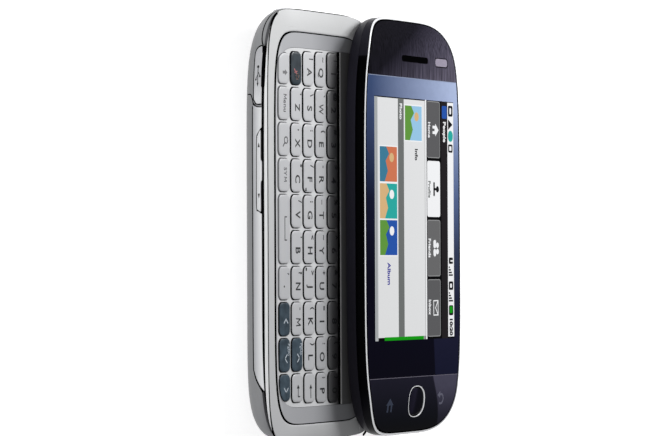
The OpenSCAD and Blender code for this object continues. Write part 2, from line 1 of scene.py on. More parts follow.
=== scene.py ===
"""Looks of a slider phone: smooth shells, keys with printed marks, the lit screen, finishes with painted
light and shade, and lights.

X is the sliding direction, Y runs along the phone to the earpiece end, Z is up. Sizes are in millimetres
in this script, and MM turns them into the metres of the scene. The display half is drawn round its own
centre and moved by TRAVEL.
"""

import math

import bpy
from mathutils import Matrix, Vector

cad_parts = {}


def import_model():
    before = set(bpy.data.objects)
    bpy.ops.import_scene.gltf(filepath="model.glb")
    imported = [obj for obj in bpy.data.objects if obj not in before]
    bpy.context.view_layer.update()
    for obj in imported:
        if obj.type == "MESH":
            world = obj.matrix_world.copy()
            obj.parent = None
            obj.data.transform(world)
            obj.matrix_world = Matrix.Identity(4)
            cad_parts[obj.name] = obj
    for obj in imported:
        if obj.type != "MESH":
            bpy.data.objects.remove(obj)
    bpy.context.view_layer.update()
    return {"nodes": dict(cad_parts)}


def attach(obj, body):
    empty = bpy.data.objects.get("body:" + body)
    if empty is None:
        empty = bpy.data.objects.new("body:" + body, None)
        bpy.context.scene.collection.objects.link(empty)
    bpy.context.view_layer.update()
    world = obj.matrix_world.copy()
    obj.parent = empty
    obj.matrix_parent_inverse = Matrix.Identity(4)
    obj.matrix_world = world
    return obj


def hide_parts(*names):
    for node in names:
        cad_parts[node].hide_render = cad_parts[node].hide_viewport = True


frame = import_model()

MM = 0.001
COUNT = 240                   # points round a large outline
FAR = 80.0                    # reach of cutting blocks

# ------------------------------------------------------------------ driving sizes

HALF_W = 27.25                # base half
HALF_L = 54.5
BEZEL_TOP = 8.8
SIDE_TOP = 7.84               # top of the sides, where the dark gap below the bezel starts
LINE_TOP = 7.8                # top of the part lines that are laid into the sides
GAP_TOP = 8.42
ROUND_X, ROUND_Y, ROUND_Z = 8.0, 15.3, 7.4    # reach of the round between the sides and the back
N_SIDE = 6.0                  # squareness of the outline at the sides
N_BACK, N_BACK_LOW = 7.1, 10.8                # and at the back, towards the upper and the lower end
STRIP_LOW = 5.15              # lower edge of the bright side strips
COVER_WALL = 0.9
TRAY = 1.15                   # depth of the tray's outside below the skin
WALL = 1.9                    # depth of its inside
DECK_TOP = 8.38
DECK_IN = 2.65                # how far the deck stays inside the outline
SHOULDER_W, SHOULDER_L, SHOULDER_Y = 25.73, 54.66, -0.71      # oblong of the bezel's shoulder line
N_SHOULDER = 8.3

TRAVEL = 35.25                # display half
DISP_HALF_W = 25.55
DISP_HALF_L = 54.7
N_FACE = 4.95                 # squareness of its outline
FACE_IN = 0.93                # how far the glass stays inside the outline
FACE_Z = 15.86                # top of the glass
FACE_THICK = 0.84
CREASE_Z = 13.0               # height of the crease between housing and side band
CREASE_BEND = 0.42            # share of the face's drop that the crease follows
DISP_LOW = 9.3
TRIM_LINE = 39.0              # where the brushed trim meets the glass
COVER_LINE = -39.5            # where the glass meets the lower cover
TOE_START, TOE_LEN, TOE_DROP = 42.8, 13.14, 5.28              # curve of the face at both ends
BUTTON_X, BUTTON_Y = 1.35, -46.1
EAR_SLOT = (-6.0, 8.2, 43.15, 44.85)          # low and high in X, low and high in Y
SENSOR_BOX = (11.8, 18.95, 42.55, 45.15)

KEY_PITCH, ROW_PITCH = 9.0, 5.89
KEY_GAP, KEY_W, KEY_TOP = 0.62, 5.1, 8.75
KEY_START, KEY_LOW = 43.6, 7.95
COLUMNS = 10
FIRST_ROW_X = 5.72
KEY_CORNER = 1.45
ROW_BOW = (0.75, 0.6, 0.4, 0.1, -0.4)         # how far each row bows out at its ends

# ------------------------------------------------------------------ materials
# Colours are given as on a screen, 0 to 255 for red, green and blue. A gradient is a direction along the
# object and its stops, each with a place in millimetres and a colour.


def tone(red, green, blue):
    """Scene colour of a screen colour."""
    def linear(value):
        value /= 255
        return value / 12.92 if value <= 0.04045 else ((value + 0.055) / 1.055) ** 2.4
    return (linear(red), linear(green), linear(blue), 1.0)


def feed(node, *inputs, **named):
    """Sets a node's inputs, in order or by name with _ for a space, to a value or another node's output."""
    links = node.id_data.links
    named = {name.replace("_", " "): value for name, value in named.items()}
    for key, value in {**dict(enumerate(inputs)), **named}.items():
        if isinstance(value, bpy.types.NodeSocket):
            links.new(value, node.inputs[key])
        else:
            node.inputs[key].default_value = value


def add(tree, kind, *inputs, operation=None, output=0, **named):
    """Adds a shader node with its inputs and gives back one of its outputs."""
    node = tree.nodes.new("ShaderNode" + kind)
    if operation:
        node.operation = operation
    feed(node, *inputs, **named)
    return node.outputs[output]


def share(tree, direction, low, high):
    """How far a point of the object lies from low to high along the direction, as 0 to 1."""
    place = add(tree, "TexCoord", output="Object")
    along = add(tree, "VectorMath", place, Vector(direction) / MM, operation="DOT_PRODUCT", output="Value")
    return add(tree, "MapRange", along, low, high)


def graded(tree, direction, stops):
    """Colour along the direction."""
    low, high = stops[0][0], stops[-1][0]
    colour = add(tree, "ValToRGB", share(tree, direction, low, high))
    elements = colour.node.color_ramp.elements
    while len(elements) < len(stops):
        elements.new(0.5)
    for element, (at, *stop_colour) in zip(elements, stops):
        element.position = (at - low) / (high - low)
        element.color = tone(*stop_colour)
    return colour


def material(name, paint, rough, metal=0.0, coat=0.0, level=0.5, grain=0.05, size=0.2,
             stretch=(1, 1, 1), bump=0.0, second=None, blend=None, glow=0.0):
    """Node material: fine colour and roughness variation, a little relief, and an optional gradient.

    paint is a colour or a gradient. grain is the share by which it varies, size the grain's width in
    millimetres. second is another gradient, and blend is (direction, low, high) for the change to it.
    glow is the share of the colour that shines by itself.
    """
    mat = bpy.data.materials.new(name)
    mat.use_nodes = True
    tree = mat.node_tree
    shader = tree.nodes["Principled BSDF"]
    feed(shader, Metallic=metal, Coat_Weight=coat, Coat_Roughness=0.04, Specular_IOR_Level=level)
    place = add(tree, "TexCoord", output="Object")
    noise = add(tree, "TexNoise", add(tree, "Mapping", place, Scale=stretch), Scale=1 / (size * MM), Detail=4)
    colour = graded(tree, *paint) if len(paint) == 2 else tone(*paint)
    if second:
        colour = add(tree, "MixRGB", share(tree, *blend), colour, graded(tree, *second))
    shade = add(tree, "MapRange", noise, 0.3, 0.7, 1 - grain, 1 + grain)
    tint = add(tree, "MixRGB", 1.0, colour, shade)
    tint.node.blend_type = "MULTIPLY"
    if glow:
        feed(shader, Emission_Strength=glow, Emission_Color=tint)
        tint = add(tree, "VectorMath", tint, operation="SCALE", Scale=1 - glow)
    feed(shader, Base_Color=tint, Roughness=add(tree, "MapRange", noise, To_Min=max(0.0, rough - 0.04),
                                                To_Max=rough + 0.04))
    if bump:
        feed(shader, Normal=add(tree, "Bump", Strength=bump, Distance=0.02 * MM, Height=noise))
    return mat


def along_x(*stops):
    return (1, 0, 0), stops


def along_y(*stops):
    return (0, 1, 0), stops


def along_z(*stops):
    return (0, 0, 1), stops


def fading(low_colour, high_colour):
    """Gradient along the whole base, a little darker towards the lower end; on the silver parts this is
    painted shade, where the light falls off.
    """
    return along_y((-50, *low_colour), (45, *high_colour))


# Bezel silver: darker towards the lower end, and darker towards +X through the second gradient, painted shade
# of the falling light and painted shadow of the display half.
SILVER = material("silver_lacquer_painted_shade", fading((210, 211, 213), (222, 223, 224)), 0.42, coat=0.03, level=0.12,
                  grain=0.025, size=0.15, bump=0.1, second=fading((184, 185, 187), (198, 199, 200)),
                  blend=((1, 0, 0), -14, 10))
# Outer strip of the bezel: a painted highlight on its rounded edge, and painted shade towards the upper end,
# where it turns away from the light.
SILVER_EDGE = material("silver_edge_painted_light", along_y((-51, 226, 227, 229), (-44, 248, 249, 250), (41, 248, 249, 250),
                                              (47, 150, 151, 153), (52, 120, 121, 123)),
                       0.42, coat=0.03, level=0.12, grain=0.02, size=0.15, bump=0.1)
# Band in the gap below the bezel: black, grey near the upper corner, all painted shade in the gap.
GAP_SHADE = material("gap_shade_band", along_y((43.8, 5, 5, 6), (45.2, 92, 93, 95), (52.6, 92, 93, 95),
                                        (53.2, 26, 26, 28)),
                    0.8, level=0.0, size=0.3)
# Side strips: darker towards their lower edge, painted shade where the sides turn down away from the light.
STRIP = material("strip_lacquer_painted_shade", along_z((5.1, 182, 183, 186), (6, 204, 205, 208), (6.8, 222, 223, 225),
                                          (8, 240, 241, 243)),
                 0.45, coat=0.03, level=0.15, grain=0.025, size=0.15, bump=0.1)
FLAP = material("flap_lacquer", along_y((31, 226, 227, 229), (36, 198, 199, 202), (43, 190, 191, 194)),
                0.45, coat=0.03, level=0.15, size=0.25, bump=0.1)
BODY_GREY = material("body_grey", (138, 139, 141), 0.45, metal=0.1, coat=0.1, grain=0.03, bump=0.15)
# Deck: a painted highlight along its left edge and painted shadow of the display half, darker towards +X.
DECK = material("deck_grey_painted_light", along_x((-21.6, 222, 223, 226), (-18.2, 188, 189, 193), (-4, 176, 177, 181),
                                     (8, 132, 133, 137)),
                0.5, level=0.15, grain=0.03, bump=0.12)
# Key lattice: darker towards +X, painted shadow of the display half over the number row.
GRID_SHADED = material("grid_silver_shaded", along_x((-2, 228, 229, 231), (3.2, 204, 205, 207), (8.4, 70, 70, 72)),
                0.45, level=0.2, grain=0.02, bump=0.1)
KEY_FINISH = {"rough": 0.4, "coat": 0.05, "grain": 0.03, "size": 0.12, "bump": 0.1}
# Keys: darker towards the lower end, painted shade where the light falls off.
KEY = material("key_silver", fading((204, 205, 208), (212, 213, 216)), level=0.25, **KEY_FINISH)
# Second row: a darker copy of the key silver, painted penumbra of the display half's shadow.
KEY_PENUMBRA = material("key_silver_penumbra", fading((186, 187, 190), (200, 201, 204)), level=0.25, **KEY_FINISH)
# Number row: dark, darker towards +X and the lower end, painted shadow of the display half.
NUMBER_ROW_SHADOW = material("key_shaded", along_x((3.4, 110, 110, 112), (7.9, 54, 54, 56)),
                      second=along_x((3.4, 76, 76, 78), (7.9, 24, 24, 26)), blend=((0, -1, 0), 8, 44),
                      **KEY_FINISH)
DARK_KEY = material("key_dark", fading((76, 91, 103), (42, 53, 61)), 0.4, coat=0.08, level=0.2, grain=0.35,
                    size=2.4, bump=0.1)
# Key walls: near black, painted shade on the sides of the keys; a paler copy of it for the bottom row.
KEY_WALL_SHADE = material("key_wall_shade", (26, 27, 30), 0.7, level=0.1, size=0.3)
PALE_KEY_WALL_SHADE = material("pale_key_wall_shade", (128, 129, 132), 0.6, level=0.1, size=0.3)
MARK = material("mark_print", (24, 25, 28), 0.6)
MARK_SOFT = material("mark_soft", (64, 65, 70), 0.6)
MARK_WHITE = material("mark_white", (205, 215, 225), 0.6)
MARK_WARM = material("mark_warm", (190, 108, 108), 0.6)
MARK_PALE = material("mark_pale", (240, 205, 192), 0.6)
MARK_GREY = material("mark_grey", (122, 123, 126), 0.6)
BLACK = material("black_plastic", (14, 14, 16), 0.6, level=0.15, grain=0.08, bump=0.15)
SHADOW_BLACK = material("gap_black", (5, 5, 6), 0.9, level=0.0, size=0.3)
# Slide bar: dark grey paint, darkened further as painted shadow of the display half, with a bright stop at
# its left edge, a painted highlight.
BAR = material("bar_paint_and_painted_light", along_x((9.95, 150, 150, 151), (10.15, 92, 92, 93), (14, 80, 80, 81)),
               0.5, level=0.2, bump=0.15)
STEEL = material("steel", (165, 167, 170), 0.34, metal=0.9, size=0.25, stretch=(1, 0.08, 1), bump=0.2)
BOARD = material("board_green", (34, 84, 60), 0.5, coat=0.3, grain=0.12, size=0.8, bump=0.2)
CELL = material("cell_wrap", (62, 64, 70), 0.5, grain=0.06, size=0.6, bump=0.1)
# Keypad sheet: dark, painted shade seen through the gaps round the keys.
SHADED_SHEET = material("sheet_rubber", (40, 40, 42), 0.8, size=0.4, bump=0.1)
RIBBON = material("ribbon_film", (186, 128, 62), 0.35, coat=0.4, grain=0.06, size=0.5, stretch=(0.1, 1, 1))
PANEL = material("panel_stack", (190, 192, 196), 0.3, metal=0.6, grain=0.04, size=0.5)
# Display housing: lighter from the middle towards the upper end, a painted highlight.
GRAPHITE_PAINTED_LIGHT = material("graphite", along_y((-46, 28, 27, 33), (-20, 30, 29, 36), (10, 38, 37, 46),
                                        (36, 40, 39, 48), (44, 36, 35, 43), (50, 34, 33, 41)),
                    0.4, level=0.12, size=0.3, bump=0.05)
BAND = material("band_black", along_y((-46, 10, 10, 14), (-42, 3, 3, 4), (43.6, 2, 2, 3), (43.8, 32, 31, 38),
                                      (50, 34, 33, 42)),
                0.25, level=0.03, grain=0.1, size=0.5)
# Chrome of the button ring and camera ring, brightened by a painted glow.
GLOWING_CHROME = material("rim_chrome", (240, 241, 244), 0.3, coat=0.2, grain=0.02, size=0.4, glow=0.3)
# Display rim: brightened by a painted glow, with painted shade towards its far +X side.
RIM = material("rim_painted_light", along_x((TRAVEL + 12, 240, 241, 244), (TRAVEL + 23, 190, 191, 196),
                                     (TRAVEL + 25, 112, 112, 120)),
               0.3, coat=0.2, grain=0.02, size=0.4, glow=0.3)
# Brushed trim: lighter towards +X and towards the glass, a painted sheen.
TRIM = material("trim_brushed", ((0.55, -1, 0), [(-40, 21, 20, 26), (-31, 22, 21, 28), (-28.5, 36, 34, 44),
                                                 (-18, 66, 63, 76), (-11, 84, 80, 94)]),
                0.6, level=0.005, grain=0.6, size=0.22, stretch=(1, 0.03, 1), bump=0.1)
# Dark glass with a painted reflection of the studio light, pale blue towards the upper right.
GLASS_REFLECTION_LEFT = along_y((-14, 5, 4, 24), (-5, 9, 10, 34), (7, 18, 22, 48), (13, 30, 41, 71), (19.5, 42, 54, 86),
                     (32, 58, 73, 110), (37, 59, 76, 113))
GLASS_REFLECTION_RIGHT = along_y((-28, 27, 28, 50), (-20, 31, 34, 58), (-6.3, 50, 60, 88), (7.2, 80, 96, 136),
                      (20.7, 115, 131, 168), (31, 157, 171, 204), (36.6, 160, 173, 204))
# Slanting lines beyond which painted reflections lighten the lower glass and the lower cover.
SHEEN_GLASS = ((1, 0.07, 0), TRAVEL + 8.2, TRAVEL + 8.7)
SHEEN_COVER = ((1, 0.4, 0), TRAVEL - 6.2, TRAVEL - 5.6)
GLASS_FINISH = {"rough": 0.08, "coat": 0.12, "level": 0.05, "grain": 0.03, "size": 2}
GLASS = material("screen_glass_painted_reflection", GLASS_REFLECTION_LEFT, second=GLASS_REFLECTION_RIGHT, blend=((1, 0, 0), TRAVEL - 22, TRAVEL + 22),
                 **GLASS_FINISH)
GLASS_LOW = material("lower_glass_painted_reflection", along_y((-38, 5, 4, 20), (-30, 5, 4, 22)),
                     second=along_y((-39, 20, 22, 46), (-30, 25, 26, 50)), blend=SHEEN_GLASS, **GLASS_FINISH)
# Lower cover: lighter towards the glass, and lighter still beyond a slanting line, a painted reflection.
COVER = material("lower_gloss_painted_reflection", along_y((-54, 10, 11, 17), (-50.5, 13, 15, 24), (-40, 29, 28, 42)), 0.1,
                 coat=0.12, level=0.05, grain=0.04, size=1.5, blend=SHEEN_COVER,
                 second=along_y((-54, 36, 35, 49), (-50, 46, 45, 60), (-43, 72, 70, 88), (-40, 74, 72, 90)))
# Button dome: lighter towards its left side, a painted sheen.
SHEEN_BUTTON = ((1, -0.25, 0), [(TRAVEL + 9, 24, 23, 36), (TRAVEL + 11.5, 30, 28, 44),
                                (TRAVEL + 12.8, 12, 12, 24), (TRAVEL + 16, 8, 8, 16)])
PAINTED_SHEEN_BLACK = material("button_painted_sheen", SHEEN_BUTTON, 0.2, coat=0.1, level=0.05, size=1)
SENSOR = material("sensor_tint", (150, 143, 160), 0.2, coat=0.3, grain=0.06, size=0.5)
LENS = material("lens_black", (8, 8, 12), 0.05, coat=0.8, grain=0.1, size=1)
FLASH = material("flash_clear", (238, 238, 226), 0.15, coat=0.6, size=0.4, bump=0.4)
ICON_FAINT = material("icon_faint", (56, 64, 84), 0.4, size=0.3)
ICON_SHEEN = material("icon_sheen", (106, 106, 124), 0.4, size=0.3)
# Light lines at the joints of the face: painted highlights on the edges of the glass.
JOINT_HIGHLIGHT = material("cover_joint_highlight", (112, 108, 124), 0.4, size=0.3)
BLUE_JOINT_HIGHLIGHT = material("trim_joint_highlight", (128, 140, 168), 0.4, size=0.3)

# ------------------------------------------------------------------ outlines and solids


def power(value, exponent):
    return math.copysign(abs(value) ** exponent, value)


def toe(y):
    """How far the display's face has dropped at y towards its curved ends."""
    u = min(1.0, max(0.0, (abs(y) - TOE_START) / TOE_LEN))
    return TOE_DROP * (1 - math.sqrt(1 - u * u))


def ring(a, b, n, z, bend=0.0, cx=0.0, cy=0.0, n_low=None, count=COUNT):
    """Closed ring of points on a rounded oblong of squareness n, counter-clockwise."""
    points = []
    for i in range(count):
        t = 2 * math.pi * i / count
        q = 2 / (n_low if n_low and math.sin(t) < 0 else n)
        x = cx + a * power(math.cos(t), q)
        y = cy + b * power(math.sin(t), q)
        points.append((x, y, z - bend * toe(y)))
    return points


def pill(x0, x1, y0, y1, radius, steps=8):
    """Rounded rectangle; radius is one size or (rx, ry) for each corner, from +X+Y counter-clockwise."""
    if not isinstance(radius, (list, tuple)):
        radius = [(radius, radius)] * 4
    points = []
    for corner, (rx, ry) in enumerate(radius):
        cx = x1 - rx if corner in (0, 3) else x0 + rx
        cy = y1 - ry if corner < 2 else y0 + ry
        for k in range(steps + 1):
            t = math.pi / 2 * (corner + k / steps)
            points.append((cx + rx * math.cos(t), cy + ry * math.sin(t)))
    return points


def smooth(points, steps=6):
    """Catmull-Rom curve through the points, with its ends kept."""
    path = [points[0]] + list(points) + [points[-1]]
    out = []
    for a, b, c, d in zip(path, path[1:], path[2:], path[3:]):
        for k in range(steps):
            t = k / steps
            out.append(tuple(0.5 * (2 * q + (r - p) * t + (2 * p - 5 * q + 4 * r - s) * t * t
                                    + (3 * q - p - 3 * r + s) * t ** 3)
                             for p, q, r, s in zip(a, b, c, d)))
    return out + [tuple(points[-1])]


def solid(name, points, faces, shift=0.0):
    """New object from points in millimetres. shift moves it along X."""
    mesh = bpy.data.meshes.new(name)
    mesh.from_pydata([((x + shift) * MM, y * MM, z * MM) for x, y, z in points], [], faces)
    mesh.update()
    obj = bpy.data.objects.new(name, mesh)
    bpy.context.scene.collection.objects.link(obj)
    return obj


def stacked(rings, tube=False):
    """Points and faces of a solid through rings of equal counts. A tube joins its last ring to its first."""
    n, m = len(rings[0]), len(rings)
    faces = []
    for j in range(m if tube else m - 1):
        a, b = j * n, (j + 1) % m * n
        for i in range(n):
            k = (i + 1) % n
            faces.append((a + i, a + k, b + k, b + i))
    if not tube:
        faces.append(tuple(reversed(range(n))))
        faces.append(tuple(range((m - 1) * n, m * n)))
    return [p for r in rings for p in r], faces


def loft(name, rings, shift=0.0, tube=False):
    return solid(name, *stacked(rings, tube), shift)


def turned(outline):
    """The outline in counter-clockwise order."""
    area = sum(a[0] * b[1] - b[0] * a[1] for a, b in zip(outline, outline[1:] + outline[:1]))
    return outline if area > 0 else outline[::-1]


def upright(outlines, z0, z1):
    """Points and faces of an upright prism over one or several outlines in X and Y."""
    points, faces = [], []
    for outline in map(turned, outlines):
        start, n = len(points), len(outline)
        points += [(x, y, z0) for x, y in outline] + [(x, y, z1) for x, y in outline]
        faces.append(tuple(start + i for i in reversed(range(n))))
        faces.append(tuple(start + n + i for i in range(n)))
        for i in range(n):
            k = (i + 1) % n
            faces.append((start + i, start + k, start + n + k, start + n + i))
    return points, faces


def prism(name, outlines, z0, z1, shift=0.0):
    return solid(name, *upright(outlines, z0, z1), shift)


def joined(parts):
    """Several (points, faces) lists as one."""
    points, faces = [], []
    for part_points, part_faces in parts:
        faces += [tuple(i + len(points) for i in face) for face in part_faces]
        points += part_points
    return points, faces


def merged(name, parts, shift=0.0):
    return solid(name, *joined(parts), shift)


def side_prism(name, outlines, x0, x1):
    """Prism along X over outlines given as (y, z)."""
    obj = prism(name, outlines, x0, x1)
    for vertex in obj.data.vertices:
        y, z, x = vertex.co
        vertex.co = (x, y, z)
    return obj


def end_prism(name, outlines, y0, y1):
    """Prism along Y over outlines given as (x, z)."""
    obj = prism(name, outlines, -y1, -y0)
    for vertex in obj.data.vertices:
        x, z, y = vertex.co
        vertex.co = (x, -y, z)
    return obj


def tile(x0, x1, y0, y1):
    return [(x0, y0), (x1, y0), (x1, y1), (x0, y1)]


def block(name, x0, x1, y0, y1, z0, z1):
    return prism(name, [tile(x0, x1, y0, y1)], z0, z1)


def disc(x, y, radius, count=64):
    return [(x + radius * math.cos(2 * math.pi * i / count), y + radius * math.sin(2 * math.pi * i / count))
            for i in range(count)]


def carve(obj, tool, operation="DIFFERENCE"):
    """Cuts obj with tool, or keeps what they share, and removes the tool."""
    step = obj.modifiers.new("carve", "BOOLEAN")
    step.operation = operation
    step.solver = "EXACT"
    step.object = tool
    graph = bpy.context.evaluated_depsgraph_get()
    mesh = bpy.data.meshes.new_from_object(obj.evaluated_get(graph))
    obj.modifiers.clear()
    obj.data = mesh
    bpy.data.objects.remove(tool)
    return obj


def keep_side(obj, outline, x0=-FAR, x1=FAR):
    """Keeps what lies inside an outline of the side view, from x0 to x1."""
    return carve(obj, side_prism("zone", [outline], x0, x1), "INTERSECT")


def cut_side(obj, outline, x0=-FAR, x1=FAR):
    return carve(obj, side_prism("zone", [outline], x0, x1))


def dress(obj, body, mat, *nodes, slot=None, angle=35.0, lower=None, split=0.0):
    """Gives a finished piece its material, shading, body and the CAD nodes that it stands for.

    lower is a second material for the faces that lie below the height split.
    """
    obj.data.materials.clear()
    obj.data.materials.append(mat)
    if lower:
        obj.data.materials.append(lower)
        for face in obj.data.polygons:
            face.material_index = int(face.center.z < split * MM)
    obj.data.shade_smooth()
    obj.data.set_sharp_from_angle(angle=math.radians(angle))
    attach(obj, body)
    if nodes:
        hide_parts(*nodes)
    return obj


# ------------------------------------------------------------------ base half: shells


def shell(d, top, steps=16):
    """Rings of the base's skin, d below its surface, from the flat of the back up to top."""
    rings = []
    for k in range(steps + 1):
        p = math.pi / 2 * (1 - k / steps)
        c, s = math.cos(p), math.sin(p)
        rings.append(ring(HALF_W - ROUND_X + (ROUND_X - d) * c, HALF_L - ROUND_Y + (ROUND_Y - d) * c,
                          N_SIDE + (N_BACK - N_SIDE) * s, ROUND_Z - (ROUND_Z - d) * s,
                          n_low=N_SIDE + (N_BACK_LOW - N_SIDE) * s))
    rings.append(ring(HALF_W - d, HALF_L - d, N_SIDE, top))
    return rings


def skin(name, outer, inner, top):
    """Shell of the base between two depths below its surface."""
    return loft(name, shell(outer, top) + shell(inner, top)[::-1])


# Outlines in the side view, as (y, z). A part line is drawn down one edge and back along the other.
SWOOSH = smooth([(32.3, -1), (32.25, 2.5), (32.1, 4.05), (30.8, 4.77), (29.6, 5.02)])
SWEEP = smooth([(-36, 5.02), (-38.5, 5.82), (-40.3, 6.82), (-41.1, 7.2)])
COVER_ZONE = SWOOSH + SWEEP + [(-60, 7.2), (-60, -1)]
STRIP_ZONE = ([(29, SIDE_TOP + 0.1)]
              + smooth([(29, 6.8), (29.25, 5.9), (29.6, STRIP_LOW)])
              + [(-35.9, STRIP_LOW)]
              + smooth([(-36, STRIP_LOW), (-38.35, 6.0), (-40.15, 7.0), (-41.3, SIDE_TOP + 0.1)]))
TOP_ZONE = ([(60, -1), (60, 9), (29.12, 9)]
            + smooth([(29.12, 6.85), (29.42, 5.95), (30, 5.22)])
            + smooth([(30, 5.22), (30.95, 4.97), (32.22, 4.2), (32.4, 2.5), (32.42, -1)]))
TRAY_ZONE = [(29.0, -1), (29.0, 9), (-60, 9), (-60, -1)]
SWEEP_LINE = ([(29.3, 4.76), (-35.9, 4.76)]
              + smooth([(-36, 4.76), (-38.5, 5.58), (-40.4, 6.62), (-41.6, 7.2)])
              + smooth([(-41.4, 7.5), (-40.2, 6.98), (-38.4, 5.94), (-36, 5.1)])
              + [(29.3, 5.1)])
SWOOSH_LINE = (smooth([(28.95, 7.7), (29.0, 6.8), (29.25, 5.9), (29.8, 5.05), (30.8, 4.8), (32.1, 4.05),
                       (32.25, 2.5)])
               + smooth([(32.5, 2.5), (32.4, 4.25), (31.1, 5.1), (30.15, 5.4), (29.5, 6.1), (29.25, 6.9),
                         (29.2, 7.7)]))
CORNER_LINE = (smooth([(54.2, 7.4), (52.6, 7.0), (50.5, 6.7), (48.4, 6.6), (46.5, 6.72), (45.0, 7.05),
                       (44.35, 7.5)])
               + smooth([(44.65, 7.65), (45.25, 7.33), (46.6, 7.02), (48.4, 6.9), (50.5, 7.0), (52.6, 7.3),
                         (54.2, 7.7)]))
FLAP_LINE = (smooth([(44.5, 7.7), (44.5, 6.9), (43.95, 5.9), (42.7, 5.25), (41, 5.15), (32, 5.15),
                     (30.5, 5.5), (29.65, 6.4), (29.55, 7.7)])
             + smooth([(29.85, 7.7), (29.9, 6.5), (30.7, 5.75), (32, 5.45), (41, 5.45), (42.6, 5.53),
                       (43.65, 6.1), (44.15, 7.0), (44.15, 7.7)]))
ROCKER_LINE = (smooth([(2.85, 7.7), (3.25, 6.85), (4.3, 6.2), (13, 6.17), (20.95, 6.27), (22.3, 6.55),
                       (23.55, 7.5)])
               + smooth([(23.1, 7.4), (22.1, 6.85), (20.9, 6.58), (13, 6.48), (4.5, 6.5), (3.7, 6.8),
                         (3.2, 7.7)]))
SCALLOP = smooth([(24.3, 8.2), (23.6, 7.4), (22.4, 6.7), (20.9, 6.4), (17, 6.3), (9.5, 6.2), (4.8, 6.1),
                  (3.6, 6.5), (2.9, 7.3), (2.4, 8.2)])
ROCKER = smooth([(3.25, 7.35), (3.7, 6.8), (4.5, 6.5), (13, 6.48), (20.9, 6.58), (22.1, 6.85), (23.1, 7.4),
                 (22.7, 7.65), (16.4, 7.65), (15.4, 7.96), (11.1, 7.96), (10.1, 7.65), (3.8, 7.65),
                 (3.25, 7.35)])
USB_FLAP = (smooth([(44.15, 7.58), (44.15, 7.0), (43.65, 6.1), (42.6, 5.53), (41, 5.45), (32, 5.45),
                    (30.7, 5.75), (29.9, 6.5), (29.85, 7.8)])
            + [(33.8, 7.8), (34.3, 7.58)])
USB_POCKET = smooth([(44.3, 9), (44.3, 6.95), (43.8, 6), (42.65, 5.4), (41, 5.3), (32, 5.3), (30.6, 5.6),
                     (29.75, 6.45), (29.7, 9)])
NAIL_NOTCH = smooth([(34.1, 8), (34.3, 8.35), (35.0, 8.56), (43.3, 8.56), (44.1, 8.4), (44.2, 8)])
CAMERA_Y, CAMERA_R = 37.3, 4.6
FLASH_X, FLASH_R = 9.4, 1.9
SPEAKER_X = -11.5
JACK_X, JACK_Z, JACK_R = 14.0, 4.6, 2.62
USB_Y = 37.0
ROCKER_MID = 13.25
POWER_X = -13.0
CAMERA_KEY_Y = -25.0


def back_cover():
    """Battery cover that reaches up the sides, with a dimple for the thumb."""
    cover = keep_side(skin("cover_shell", 0, COVER_WALL, SIDE_TOP), COVER_ZONE)
    dimple = ((5.2, -0.3), (4.9, 0.0), (4.2, 0.09), (3.2, 0.19), (1.9, 0.26), (0.6, 0.295))
    carve(cover, loft("dimple", [ring(r, r, 2, z, cy=24, count=96) for r, z in dimple]))
    dress(cover, "battery_cover", BODY_GREY, "battery_cover", slot="grey_housing")


def side_strips():
    """Bright strips with the rocker's scallop on the left and the camera key's hole on the right."""
    strips = keep_side(skin("side_strips", 0, TRAY - 0.02, SIDE_TOP), STRIP_ZONE)
    cut_side(strips, SCALLOP, x1=0)
    cut_side(strips, pill(CAMERA_KEY_Y - 5.1, CAMERA_KEY_Y + 5.1, 5.6, 7.25, 0.75), x0=0)
    dress(strips, "base", STRIP, "side_panels", slot="silver_satin")


def part_lines():
    """Fine dark lines laid into the skin along the seams, black as painted shade in them, on both sides or on
    the left one only.
    """
    for name, line, x1, depth in (("side_seam", SWEEP_LINE, FAR, 0.3), ("swoosh_line", SWOOSH_LINE, FAR, 0.3),
                                  ("corner_line", CORNER_LINE, 0, 0.3), ("flap_line", FLAP_LINE, 0, 0.15),
                                  ("rocker_line", ROCKER_LINE, 0, 0.3)):
        dress(keep_side(skin(name, -0.006, depth, LINE_TOP), line, x1=x1), "base", SHADOW_BLACK)


def tray():
    """Black tray inside the skin, with room for the rocker, the camera key and the battery."""
    obj = keep_side(skin("tray", TRAY, WALL, SIDE_TOP), TRAY_ZONE)
    carve(obj, block("rocker_room", -FAR, -HALF_W + 2.6, ROCKER_MID - 11.2, ROCKER_MID + 11.2, 6.1, 9))
    carve(obj, block("key_room", HALF_W - 2.6, FAR, CAMERA_KEY_Y - 5.2, CAMERA_KEY_Y + 5.2, 5.5, 7.35))
    carve(obj, block("cell_room", -17.4, 17.4, -30.4, 20.4, -1, 3))
    dress(obj, "base", BLACK, "rear_housing", slot="grey_housing")


def shadow_fillers():
    """Dark surfaces in the gaps round the rocker, round the USB flap and behind the nail notch."""
    for name, room, piece, outer in (("rocker_shadow", SCALLOP, ROCKER, 0.12),
                                     ("flap_shadow", USB_POCKET, USB_FLAP, 0.08)):
        shadow = keep_side(skin(name, outer, 1.1, SIDE_TOP), room, x1=0)
        dress(cut_side(shadow, piece, x1=0), "base", SHADOW_BLACK)
    dress(block("notch_back", -26.1, -25.9, 33.9, 44.3, 7.5, GAP_TOP), "base", SHADOW_BLACK)


